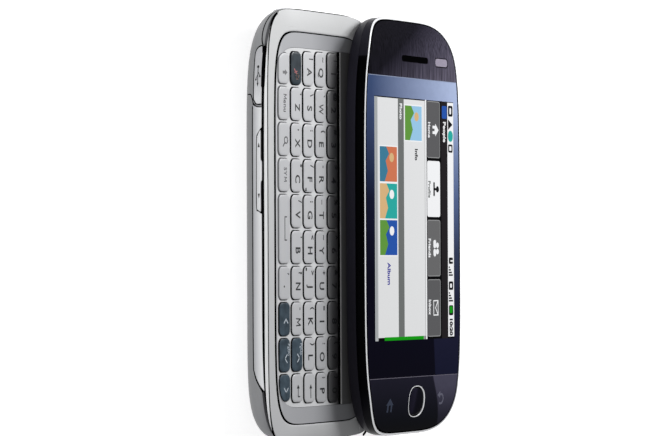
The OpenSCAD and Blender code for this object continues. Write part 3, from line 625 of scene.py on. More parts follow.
def upper_end():
    """Grey end of the base, with the holes for camera, flash, loudspeaker, jack, USB flap and power key."""
    end = keep_side(skin("upper_end", 0, WALL, SIDE_TOP), TOP_ZONE)
    holes = [disc(0, CAMERA_Y, CAMERA_R + 0.02), disc(FLASH_X, CAMERA_Y, FLASH_R + 0.02)]
    holes += [pill(SPEAKER_X - 4.5, SPEAKER_X + 4.5, y - 0.4, y + 0.4, 0.39)
              for y in [CAMERA_Y + 1.9 * i for i in range(-2, 3)]]
    carve(end, prism("holes", holes, -1, 3))
    carve(end, end_prism("jack_hole", [disc(JACK_X, JACK_Z, JACK_R + 0.03)], 36, 60))
    carve(end, keep_side(skin("flap_room", -1, 1.15, 9), USB_POCKET, x1=0))
    carve(end, block("swing_room", -FAR, -26.4, 29.7, 31.0, 5.7, 9))
    carve(end, block("plug_room", -FAR, -HALF_W + 5, USB_Y - 3.9, USB_Y + 3.9, 5.25, 9))
    carve(end, block("power_room", POWER_X - 5.1, POWER_X + 5.1, HALF_L - 3, FAR, 5.0, 6.8))
    dress(end, "base", BODY_GREY, "rear_housing", slot="grey_housing")


def window(grow, z):
    """The bezel's opening, larger by grow."""
    return ring(22.7 + grow, 49.55 + grow, 7.5, z, cy=-0.75)


def well(grow, z):
    """The deck's opening for the keys and the slide bar, larger by grow."""
    return ring(22.4 + grow, 45.35 + grow, 8.5, z, cx=1.6, cy=-0.6)


def shoulder_line(width):
    """Outline of the fine line along the bezel's left shoulder."""
    def side(grow):
        points = ring(SHOULDER_W + grow, SHOULDER_L + grow, N_SHOULDER, 0, cy=SHOULDER_Y, n_low=8.5,
                      count=480)
        return [(x, y) for x, y, z in points if x < -20.6 and y < 53]
    return side(width / 2) + side(-width / 2)[::-1]


def bezel():
    """Keyboard surround with a wide flat top, brighter outside the fine dark line along its shoulder by a
    painted highlight, with painted shade near the upper corners.
    """
    def edge(inset, z, n, n_low):
        return ring(HALF_W - inset, HALF_L - 0.26 - inset * 0.08, n, z, n_low=n_low)

    rings = [edge(0.3, GAP_TOP + 0.02, 6.1, 7.8), edge(0.28, 8.52, 6.1, 7.8), edge(0.34, 8.58, 6.3, 8.2),
             edge(0.58, 8.64, 7.0, 8.7), edge(0.95, 8.7, 7.6, 8.7), edge(1.35, 8.755, 8.1, 8.6),
             edge(1.7, 8.79, 8.3, 8.5), edge(2.0, 8.8, 8.3, 8.5), window(0.5, 8.8), window(0.28, 8.79),
             window(0.1, 8.74), window(0.0, 8.62), window(0.0, GAP_TOP + 0.02)]
    obj = loft("bezel", rings, tube=True)
    cut_side(obj, NAIL_NOTCH, x1=-25.1)
    carve(obj, block("cap_line", 18.2, 18.45, -FAR, -50.6, BEZEL_TOP - 0.3, 10))
    left = shoulder_line(0.4)
    right = [(-x, y) for x, y in left[::-1]]
    carve(obj, prism("shoulder", [left, right], 8.5, 9))
    dress(obj, "base", SILVER, "front_bezel", slot="silver_satin")
    # Faces outside the shoulder line take the painted highlight and shade of the outer strip.
    obj.data.materials.append(SILVER_EDGE)
    for face in obj.data.polygons:
        x, y = face.center.x / MM, face.center.y / MM - SHOULDER_Y
        outside = abs(x / SHOULDER_W) ** N_SHOULDER + abs(y / SHOULDER_L) ** 8.4 > 1
        face.material_index = int(outside and abs(x) > 20.4)
    # Black in the groove of the shoulder line: painted shade.
    dress(prism("shoulder_line_shade", [left, right], 8.45, 8.765), "base", SHADOW_BLACK)
    # Painted shade filling the gap below the bezel.
    band = [ring(HALF_W - inset, HALF_L - inset * 0.3, N_SIDE, z) for inset, z in
            ((0.1, SIDE_TOP + 0.01), (0.1, 8.4), (0.2, 8.43), (0.9, 8.43), (0.9, SIDE_TOP + 0.01))]
    dress(loft("gap_shade_band", band, tube=True), "base", GAP_SHADE)


def slide_bar():
    """Fixed half of the slide, with a thin painted highlight on its edge towards the keys and a black wall
    below it, painted shade.
    """
    def plate(name, shrink, z0, z1, x0):
        obj = loft(name, [well(-0.1 - shrink, z) for z in (z0, z1)])
        carve(obj, block("keys_side", -FAR, x0, -FAR, FAR, 7, 10))
        carve(obj, prism("room", [pill(13.6, 22.6, -6, 6, 0.5)], 7, 10))
        return obj

    # Black wall under the bar's edge: painted shade.
    dress(plate("bar_wall_shade", 0.05, 7.76, 8.38, 9.8), "base", SHADOW_BLACK)
    dress(plate("bar_top", 0.0, 8.4, 8.6, 9.7), "base", BAR, "slide_base_plate", slot="grey_housing")


def deck():
    """Grey recess round the keys, with its painted highlight and shadow, and the dark joint under the bezel's
    inner edge, black as painted shade in the gap.
    """
    def floor_edge(grow, z):
        return ring(21.95 + grow, 49.27 + grow, 7.5, z, cx=0.65, cy=-0.75)

    plate = loft("deck", [ring(HALF_W - DECK_IN, HALF_L - DECK_IN, N_SIDE, z) for z in (7.75, DECK_TOP)])
    carve(plate, loft("well", [well(0, z) for z in (7, 9)]))
    carve(plate, loft("joint", [window(0.02, 7.0), window(0.02, 9.0), floor_edge(0, 9.0), floor_edge(0, 7.0)],
                      tube=True))
    dress(plate, "base", DECK, "deck_plate", slot="grey_housing")
    seal = loft("deck_joint", [window(0.0, 7.8), window(0.0, 8.35), floor_edge(0.02, 8.35),
                               floor_edge(0.02, 7.8)], tube=True)
    dress(seal, "base", SHADOW_BLACK)


# ------------------------------------------------------------------ keys


def row_x(row):
    return FIRST_ROW_X - ROW_PITCH * row


def key_span(row, column, span=1):
    """Lower and upper end of a key along Y."""
    last = column + span - 1
    low = KEY_START - KEY_PITCH * (last + 1) + KEY_GAP
    if last == COLUMNS - 1:
        low = KEY_START - KEY_PITCH * COLUMNS + 1.9 - ROW_BOW[row]
    high = KEY_START - KEY_PITCH * column + (ROW_BOW[row] - 0.1 if column == 0 else 0)
    return low, high


def key_outline(row, column, span=1, inset=0.0):
    """Rounded outline of one key; the two keys in the lower corners of the field have a wider round."""
    low, high = key_span(row, column, span)
    corners = [(KEY_CORNER, KEY_CORNER)] * 4
    if (row, column) == (4, 0):
        corners[1] = (3.2, 2.6)
    if (row, column) == (4, 9):
        corners[2] = (2.6, 4.8)
    corners = [(max(0.12, rx - inset), max(0.12, ry - inset)) for rx, ry in corners]
    x, half = row_x(row), KEY_W / 2 - inset
    return pill(x - half, x + half, low + inset, high - inset, corners)


KEY_PROFILE = ((0.0, KEY_LOW), (0.0, 8.4), (0.03, 8.52), (0.1, 8.62), (0.22, 8.69), (0.4, 8.73), (0.7, 8.745),
               (1.15, KEY_TOP))

# one entry per CAD node: row, first column, last column, columns that one key spans
KEY_ROWS = {"number_keys": (0, 0, 9, 1), "qwerty_keys": (1, 0, 9, 1), "home_row_keys": (2, 0, 8, 1),
            "lower_row_keys": (3, 1, 7, 1), "backspace_key": (2, 9, 9, 1), "fn_key": (3, 0, 0, 1),
            "up_key": (3, 8, 8, 1), "enter_key": (3, 9, 9, 1), "shift_key": (4, 0, 0, 1),
            "menu_key": (4, 1, 1, 1), "search_key": (4, 2, 2, 1), "symbol_key": (4, 3, 3, 1),
            "space_key": (4, 4, 4, 2), "period_key": (4, 6, 6, 1), "left_key": (4, 7, 7, 1),
            "down_key": (4, 8, 8, 1), "right_key": (4, 9, 9, 1)}
DARK_KEYS = ("fn_key", "up_key", "left_key", "down_key", "right_key")


def cap_parts(row, column, span):
    """Points and faces of one keycap with its softly rounded edge."""
    return stacked([[(x, y, z) for x, y in key_outline(row, column, span, inset)]
                    for inset, z in KEY_PROFILE])


def keys():
    """Keycaps, one object for each CAD node."""
    for node, (row, first, last, span) in KEY_ROWS.items():
        caps = merged(node + "_caps", [cap_parts(row, c, span) for c in range(first, last + 1)])
        dark = node in DARK_KEYS
        # Row 0 takes the painted shadow of the display half and row 1 its painted penumbra.
        mat = DARK_KEY if dark else {0: NUMBER_ROW_SHADOW, 1: KEY_PENUMBRA}.get(row, KEY)
        # Walls below split get painted shade, paler on the bottom row.
        side = PALE_KEY_WALL_SHADE if row == 4 and not dark else KEY_WALL_SHADE
        slot = "key_dark" if dark else "key_silver"
        dress(caps, node, mat, node, slot=slot, angle=50, lower=side, split=8.6)


def key_grid():
    """Silver lattice between the keys, darkening into the display half's painted shadow, with dark room round
    each key.
    """
    grid = loft("key_grid", [well(-0.08, z) for z in (7.75, 8.34)])
    carve(grid, block("bar_side", 8.55, FAR, -FAR, FAR, 7, 9))
    holes = []
    for row, first, last, span in KEY_ROWS.values():
        for column in range(first, last + 1):
            holes.append([(x - 0.06, y) for x, y in key_outline(row, column, span, -0.15)])
    carve(grid, prism("holes", holes, 7, 9))
    dress(grid, "base", GRID_SHADED, "key_frame", slot="silver_satin")


# ------------------------------------------------------------------ printed marks
# Marks are drawn in reading directions: u to the right, v up. On the keyboard, reading to the right is
# towards -Y and up is towards +X. A finished mark is a pair of points and faces.


def bar(p, q, width):
    """Stroke from p to q as a four-sided outline with square ends."""
    (u0, v0), (u1, v1) = p, q
    length = math.hypot(u1 - u0, v1 - v0)
    du, dv = (u1 - u0) / length * width / 2, (v1 - v0) / length * width / 2
    return [(u0 - du + dv, v0 - dv - du), (u1 + du + dv, v1 + dv - du),
            (u1 + du - dv, v1 + dv + du), (u0 - du - dv, v0 - dv + du)]


def stroke(points, width):
    return [bar(p, q, width) for p, q in zip(points, points[1:])]


def arc(u, v, radius, start, end, steps=14):
    angles = [math.radians(start + (end - start) * k / steps) for k in range(steps + 1)]
    return [(u + radius * math.cos(a), v + radius * math.sin(a)) for a in angles]


# wide letters are drawn a little narrower, so that they fit their keys
NARROWED = {"W": 0.78, "N": 0.92, "A": 0.92, "V": 0.92, "X": 0.92, "Z": 0.9}


def word(text, height, spread=1.0, bold=0.0):
    """A word in the plain built-in typeface as a mark centred on the origin."""
    curve = bpy.data.curves.new("word", "FONT")
    curve.body = text
    curve.size = 1.0
    curve.space_character = spread
    curve.extrude = 0.01
    curve.resolution_u = 3
    curve.offset = bold
    obj = bpy.data.objects.new("word", curve)
    bpy.context.scene.collection.objects.link(obj)
    graph = bpy.context.evaluated_depsgraph_get()
    mesh = bpy.data.meshes.new_from_object(obj.evaluated_get(graph))
    cap_height = 0.69
    scale = height / cap_height
    wide = scale * NARROWED.get(text, 1.0)
    points = [(v.co.x * wide, v.co.y * scale, v.co.z) for v in mesh.vertices]
    faces = [tuple(p.vertices) for p in mesh.polygons]
    bpy.data.objects.remove(obj)
    middle = (min(p[0] for p in points) + max(p[0] for p in points)) / 2
    return [(u - middle, v - height / 2, math.copysign(0.5, w)) for u, v, w in points], faces


def shape(outlines):
    """Outlines as flat prisms, half a unit up and down."""
    return upright(outlines, -0.5, 0.5)


def letter_m(height, pen):
    """A plain M of the given height, drawn as four strokes."""
    h, w = height / 2 - pen / 2, height * 0.4
    return shape(stroke([(-w, -h), (-w * 0.86, h), (0, -h * 0.45), (w * 0.86, h), (w, -h)], pen))


def beside(mark, du):
    """The mark moved to the right."""
    return [(u + du, v, w) for u, v, w in mark[0]], mark[1]


def printed(mark, x, y, z, thick=0.03):
    """A mark laid on the keyboard at x, y, with its top at z."""
    points, faces = mark
    return [(x + v, y - u, z + (w - 0.5) * thick) for u, v, w in points], faces


def move(outlines, du, dv):
    return [[(u + du, v + dv) for u, v in outline] for outline in outlines]


MAIN_U, MAIN_V = 0.85, 0.4      # place of the main mark from the key's middle
SIDE_U, SIDE_V = -2.5, 1.45     # place of the small second mark
LETTERS = ("1234567890", "QWERTYUIOP", "ASDFGHJKL", "ZXCVBNM")
SECONDS = ("!@#$%^&*()", "~`{-_~+=:;", "|\\:/;<>()", "',\"/'?-")
MARK_TOP = KEY_TOP + 0.012


def letter_marks():
    """Letters and small second marks of the four long rows, and the two finger bars."""
    nodes = ("number_keys", "qwerty_keys", "home_row_keys", "lower_row_keys")
    for row, (node, letters, seconds) in enumerate(zip(nodes, LETTERS, SECONDS)):
        first = KEY_ROWS[node][1]
        parts, small = [], []
        for i, (letter, second) in enumerate(zip(letters, seconds)):
            low, high = key_span(row, first + i)
            middle = (low + high) / 2
            bold = 0.008 if letter == "W" else 0.02
            mark = letter_m(2.2, 0.3) if letter == "M" else word(letter, 2.2, bold=bold)
            x = row_x(row) - (0.25 if row == 1 else 0.0)
            parts.append(printed(mark, x + MAIN_V, middle - MAIN_U, MARK_TOP))
            small.append(printed(word(second, 1.45, bold=0.035), x + SIDE_V, middle - SIDE_U, MARK_TOP))
        if node == "home_row_keys":
            for column, end, way in ((3, 0, 1), (6, 1, -1)):
                y = key_span(row, column)[end] + 0.75 * way
                parts.append(printed(shape([pill(-0.45, 0.45, -0.2, 0.2, 0.18, 4)]), row_x(row) - 1.6, y,
                                     KEY_TOP + 0.09, 0.14))
        dress(merged(node + "_letters", parts), node, MARK)
        dress(merged(node + "_symbols", small), node, MARK)


def key_mark(node, mark, mat, du=0.0, dv=0.0, name="_mark"):
    """Lays a mark on a single key, moved by du and dv from the place of the letters."""
    row, column, _, span = KEY_ROWS[node]
    low, high = key_span(row, column, span)
    y = (low + high) / 2 - MAIN_U - du
    dress(merged(node + name, [printed(mark, row_x(row) + MAIN_V + dv, y, MARK_TOP)]), node, mat)


def function_marks():
    """Marks of the single keys."""
    pen = 0.3
    page_up, page_down = word("PgUp", 0.95, 1.05), word("PgDn", 0.95, 1.05)
    menu = joined([beside(letter_m(1.45, 0.2), -1.45), beside(word("enu", 1.45, 1.05, 0.012), 0.85)])
    symbol = joined([beside(letter_m(1.3, 0.18), 1.2), beside(word("SY", 1.3, 1.1, 0.01), -0.75)])
    key_mark("shift_key", shape([tile(-0.36, 0.36, -1.05, 0.1), [(-0.78, 0.0), (0.78, 0.0), (0, 1.15)]]),
             MARK_GREY, 0.2)
    key_mark("menu_key", menu, MARK_SOFT, -1.0)
    key_mark("symbol_key", symbol, MARK_SOFT, -1.0)
    key_mark("search_key", shape(stroke(arc(-0.3, 0.35, 0.8, 0, 360, 20), 0.24)
                                 + stroke([(0.3, -0.2), (1.2, -1.0)], 0.34)), MARK_SOFT, -0.3)
    key_mark("space_key", shape(stroke([(-2.9, 0.45), (-2.9, -0.35), (2.9, -0.35), (2.9, 0.45)], pen)),
             MARK_SOFT, -1.0)
    comma = move([disc(0, 0, 0.22, 16), bar((0.05, -0.05), (-0.15, -0.45), 0.2)], -3.1, 1.3)
    key_mark("period_key", shape([disc(0, -0.75, 0.26, 16)] + comma), MARK)
    key_mark("enter_key", shape(stroke([(1.3, 0.55), (1.3, -0.2), (-0.9, -0.2)], pen)
                                + [[(-1.75, -0.2), (-0.75, 0.5), (-0.75, -0.9)]]), MARK)
    key_mark("backspace_key", shape([bar((-0.8, 0), (1.6, 0), pen),
                                     [(-1.8, 0), (-0.7, 0.65), (-0.7, -0.65)]]), MARK)
    key_mark("left_key", shape(stroke([(0.5, 0.85), (-0.5, 0), (0.5, -0.85)], pen)), MARK_WHITE, -0.4)
    key_mark("right_key", shape(stroke([(-0.5, 0.85), (0.5, 0), (-0.5, -0.85)], pen)), MARK_WHITE, -0.2)
    key_mark("up_key", shape(stroke([(-0.95, -0.45), (0, 0.5), (0.95, -0.45)], pen)), MARK_WHITE)
    key_mark("down_key", shape(stroke([(-0.95, 0.45), (0, -0.5), (0.95, 0.45)], pen)), MARK_WHITE)
    key_mark("up_key", page_up, MARK_WHITE, -2.2, 1.35, "_page")
    key_mark("down_key", page_down, MARK_WHITE, -2.2, 1.35, "_page")
    key_mark("fn_key", shape(stroke(arc(1.2, 0.0, 0.62, 0, 360, 16), pen)), MARK_PALE)
    key_mark("fn_key", shape([bar((-0.6, -1.4), (0.7, -0.3), pen), bar((-0.1, -0.1), (0.2, -1.2), 0.24)]),
             MARK_WARM, name="_strokes")


# ------------------------------------------------------------------ base half: small parts


def decal(name, outlines, proud, body):
    """Dark marks wrapped on the base's left side, standing proud of the skin by a hair."""
    obj = skin(name, -proud, 0.25, 9)
    carve(obj, side_prism("marks", outlines, -FAR, 0), "INTERSECT")
    dress(obj, body, MARK)


def flap_plan():
    """Plan of the flap with its rounded hinge end."""
    x, y, radius = -26.7, 30.32, 0.52
    end = [(x + radius * math.cos(math.radians(a)), y + radius * math.sin(math.radians(a)))
           for a in range(180, 361, 12)]
    return [(-FAR, FAR), (-FAR, y)] + end + [(0, y), (0, FAR)]


def rocker():
    """Volume rocker, a hair proud of the side, with a printed arrow at each end."""
    obj = keep_side(skin("rocker", -0.12, 1.4, 8.1), ROCKER, x1=0)
    dress(obj, "volume_rocker", STRIP, "volume_rocker", slot="silver_satin")
    arrows = [[(y, 6.82), (y, 7.46), (y + 1.2 * way, 7.14)] for y, way in ((19.1, 1), (7.6, -1))]
    decal("rocker_arrows", arrows, 0.13, "volume_rocker")


def flap():
    """USB flap with its rounded hinge end and the plain sign of a forked plug."""
    obj = keep_side(skin("flap", 0, 1.05, 7.9), USB_FLAP, x1=0)
    carve(obj, prism("rounded_end", [flap_plan()], 0, 9), "INTERSECT")
    dress(obj, "usb_cover", FLAP, "usb_cover", slot="silver_satin")
    y, z = 36.6, 6.6
    sign = [bar((y + 2.2, z), (y - 1.7, z), 0.22), disc(y + 2.5, z, 0.36, 20),
            [(y - 1.5, z - 0.3), (y - 2.5, z), (y - 1.5, z + 0.3)],
            bar((y + 1.3, z), (y + 0.3, z + 0.55), 0.18), disc(y + 0.1, z + 0.6, 0.25, 16),
            bar((y + 0.6, z), (y - 0.5, z - 0.55), 0.18), disc(y - 0.7, z - 0.6, 0.25, 16)]
    for number, outline in enumerate(sign):
        decal(f"plug_sign_{number}", [outline], 0.012 + 0.001 * number, "usb_cover")


def side_keys():
    """Camera key on the right side and power key in the upper end."""
    zone = pill(CAMERA_KEY_Y - 4.95, CAMERA_KEY_Y + 4.95, 5.75, 7.1, 0.66)
    camera_key = keep_side(skin("shutter_key", -0.3, 1.2, 7.6), zone, x0=0)
    dress(camera_key, "camera_key", STRIP, "camera_key", slot="silver_satin")
    zone = pill(POWER_X - 4.95, POWER_X + 4.95, 5.15, 6.65, 0.72)
    power_key = carve(skin("lock_key", -0.25, 1.4, 7.6), end_prism("zone", [zone], 0, FAR), "INTERSECT")
    dress(power_key, "power_key", STRIP, "power_key", slot="silver_satin")


# ------------------------------------------------------------------ display half


def face_ring(inset, z, bend=1.0):
    return ring(DISP_HALF_W - inset, DISP_HALF_L - inset, N_FACE, z, bend)


def half_width(y, inset):
    part = min(1.0, abs(y) / (DISP_HALF_L - inset))
    return (DISP_HALF_W - inset) * (1 - part ** N_FACE) ** (1 / N_FACE)


def face_sheet(name, y0, y1, inset, top, thick, columns=28):
    """Plate that fills the rim between y0 and y1 and follows the curved ends."""
    reach = DISP_HALF_L - inset - 0.002
    y0, y1 = max(y0, -reach), min(y1, reach)
    turn0, turn1 = math.asin(y0 / reach), math.asin(y1 / reach)
    rows = max(8, int(abs(turn1 - turn0) * 45))
    levels = [reach * math.sin(turn0 + (turn1 - turn0) * j / rows) for j in range(rows + 1)]
    points = []
    for drop in (0.0, thick):
        for y in levels:
            wide = half_width(y, inset)
            points += [(wide * (2 * i / columns - 1), y, top - drop - toe(y)) for i in range(columns + 1)]
    step, under = columns + 1, (rows + 1) * (columns + 1)
    faces = []
    for j in range(rows):
        for i in range(columns):
            a = j * step + i
            faces.append((a, a + 1, a + 1 + step, a + step))
            faces.append((under + a, under + a + step, under + a + 1 + step, under + a + 1))
    edge = list(range(columns + 1)) + [j * step + columns for j in range(1, rows + 1)]
    edge += [rows * step + i for i in reversed(range(columns))] + [j * step for j in reversed(range(1, rows))]
    for a, b in zip(edge, edge[1:] + edge[:1]):
        faces.append((a, under + a, under + b, b))
    return solid(name, points, faces, TRAVEL)


def button_ring(grow, z):
    return ring(3.5 + grow, 3.33 + grow, 2.5, z, 1.0, BUTTON_X, BUTTON_Y, count=96)


def display_back():
    """Graphite housing with the recess and tracks of the slide plate and the wells of its screws."""
    body = [ring(DISP_HALF_W - inset, DISP_HALF_L - end, N_FACE, z, bend) for inset, end, z, bend in
            ((2.0, 0.9, DISP_LOW, 0.0), (1.5, 0.5, 9.36, 0.0), (1.2, 0.3, 9.7, 0.02),
             (0.95, 0.15, 10.2, 0.06), (0.65, 0.05, 10.9, 0.13), (0.4, 0.0, 11.5, 0.22),
             (0.18, 0.0, 12.2, 0.32), (0.0, 0.0, CREASE_Z - 0.03, CREASE_BEND),
             (1.9, 1.9, CREASE_Z - 0.03, CREASE_BEND), (1.9, 6.2, 12.3, 0.0))]
    housing = loft("display_back", body, TRAVEL)
    recess = pill(-21.42, 21.42, -43.52, 43.52, 4)
    carve(housing, prism("recess", [recess], 9, 9.82, TRAVEL))
    tracks = [pill(-19.8, 19.8, y - 2.15, y + 2.15, 2.14) for y in (-35, -13, 13, 35)]
    carve(housing, prism("tracks", tracks, 9, 10.45, TRAVEL))
    wells = [disc(x, y, 1.25, 40) for x in (-15.5, 15.5) for y in (-49.3, 49.3)]
    carve(housing, prism("wells", wells, 9, 10.1, TRAVEL))
    dress(housing, "display", GRAPHITE_PAINTED_LIGHT, "display_housing", slot="graphite")


def band_and_rim():
    """Gloss black band round the display and the rim on it, bright by a painted glow."""
    band = [(0.03, CREASE_Z, CREASE_BEND), (0.0, CREASE_Z + 0.05, 0.43), (0.0, 13.8, 0.62), (0.0, 14.6, 0.82),
            (0.0, 15.3, 1.0), (0.0, 15.66, 1.0), (0.02, 15.71, 1.0), (0.27, 15.71, 1.0), (0.27, 15.28, 1.0),
            (0.7, 15.28, 1.0), (0.7, 14.98, 1.0), (1.6, 14.98, 1.0), (1.6, 14.2, 0.8),
            (1.6, CREASE_Z, CREASE_BEND)]
    dress(loft("side_band", [face_ring(*p) for p in band], TRAVEL, tube=True), "display", BAND,
          "display_frame", slot="gloss_black")

    rim = [(0.29, 15.3), (0.29, 15.69), (0.03, 15.7), (0.0, 15.74), (0.04, 15.82), (0.14, 15.875),
           (0.26, 15.9), (0.36, 15.893), (0.43, 15.85), (0.43, 15.3)]
    rings = [ring(DISP_HALF_W - inset, DISP_HALF_L - 0.1 - inset, N_FACE, z, 1.0) for inset, z in rim]
    dress(loft("rim", rings, TRAVEL, tube=True), "display", RIM, "chrome_rim", slot="rim_chrome")


def face_plates():
    """Glass, brushed trim and lower cover, the black gap round them, painted shade, and the light joints
    between them, painted highlights on the glass's edges.
    """
    # Black in the gap between the rim and the face plates: painted shade.
    seal = [face_ring(inset, z) for inset, z in ((0.44, 15.3), (0.44, 15.8), (0.92, 15.8), (0.92, 15.3))]
    dress(loft("face_gap_shade", seal, TRAVEL, tube=True), "display", SHADOW_BLACK)
    glass = face_sheet("glass", COVER_LINE + 0.06, TRIM_LINE - 0.05, FACE_IN, FACE_Z, FACE_THICK)
    dress(glass, "display", GLASS, "touch_glass", slot="glass_dark")
    # Below -29 the glass takes the lower painted reflection.
    glass.data.materials.append(GLASS_LOW)
    for face in glass.data.polygons:
        face.material_index = int(face.center.y < -29 * MM)

    trim = face_sheet("trim", TRIM_LINE + 0.02, FAR, FACE_IN, FACE_Z, FACE_THICK)
    openings = [pill(*EAR_SLOT, 0.74), pill(*SENSOR_BOX, 1.0)]
    carve(trim, prism("openings", openings, 9, 20, TRAVEL))
    dress(trim, "display", TRIM, "top_trim", slot="trim_brushed")

    cover = face_sheet("lower_plate", -FAR, COVER_LINE - 0.06, FACE_IN, FACE_Z, FACE_THICK)
    carve(cover, loft("button_hole", [button_ring(0.82, 10), button_ring(0.82, 20)], TRAVEL))
    dress(cover, "display", COVER, "lower_cover", slot="cover_gloss")

    # Painted highlights along the glass's edges at the trim and the lower cover.
    edge = face_sheet("trim_joint", TRIM_LINE - 0.16, TRIM_LINE + 0.02, FACE_IN, 15.868, 0.1, columns=8)
    dress(edge, "display", BLUE_JOINT_HIGHLIGHT)
    line = face_sheet("cover_joint", COVER_LINE - 0.14, COVER_LINE + 0.02, FACE_IN, 15.875, 0.1, columns=8)
    dress(line, "display", JOINT_HIGHLIGHT)


def trim_fittings():
    """Lining of the earpiece slot, black as painted shade inside it, and the sensor's window."""
    lining = prism("slot_shade", [pill(-5.98, 8.18, 43.17, 44.83, 0.72)], 15.05, 15.7, TRAVEL)
    dress(lining, "display", SHADOW_BLACK)
    pane = prism("sensor_pane", [pill(12.2, 18.6, 42.85, 44.9, 0.85)], 15.0, 15.8, TRAVEL)
    dress(pane, "display", SENSOR, "sensor_window", slot="lens_glass")


def button():
    """Domed menu button in its thin ring, bright by a painted glow, with black painted shade in the gap
    between ring and dome.
    """
    ring_profile = [(0.8, 15.2), (0.8, 15.84), (0.77, 15.89), (0.72, 15.91), (0.65, 15.89), (0.6, 15.84),
                    (0.6, 15.2)]
    rim = loft("button_rim", [button_ring(g, z) for g, z in ring_profile], TRAVEL, tube=True)
    dress(rim, "display", GLOWING_CHROME, "button_ring", slot="rim_chrome")
    # Black in the gap between ring and dome: painted shade.
    gap_fill = [button_ring(g, z) for g, z in ((0.59, 15.1), (0.59, 15.6), (0.26, 15.6), (0.26, 15.1))]
    dress(loft("button_gap_shade", gap_fill, TRAVEL, tube=True), "display", SHADOW_BLACK)
    dome = [button_ring(g, z) for g, z in ((0.2, 15.34), (0.2, 15.68), (0.14, 15.76), (-0.1, 15.82),
                                           (-0.7, 15.86), (-1.9, 15.88))]
    dress(loft("button_dome", dome, TRAVEL), "menu_button", PAINTED_SHEEN_BLACK, "menu_button", slot="cover_gloss")


# ------------------------------------------------------------------ the lit screen
# Tiles are given in the display's own millimetres: X across the phone, Y along it. Reading runs towards -Y
# and up is +X, as on the keyboard.

SCREEN_Z = 15.862
SCREEN_TONES = {
    "white": (240, 241, 243), "paper": (224, 225, 226), "grey": (110, 113, 112), "dark": (34, 31, 34),
    "tab": (92, 92, 94), "tab_light": (104, 104, 105), "line": (150, 151, 152), "black": (5, 5, 7),
    "green": (20, 152, 20), "ink": (22, 22, 26), "teal": (44, 168, 160), "blue": (40, 84, 168),
    "navy": (30, 28, 148), "leaf": (96, 150, 62), "sand": (214, 178, 128), "sky": (150, 196, 226),
    "dusk": (206, 118, 84), "pale": (174, 178, 180), "lake": (62, 122, 150)}


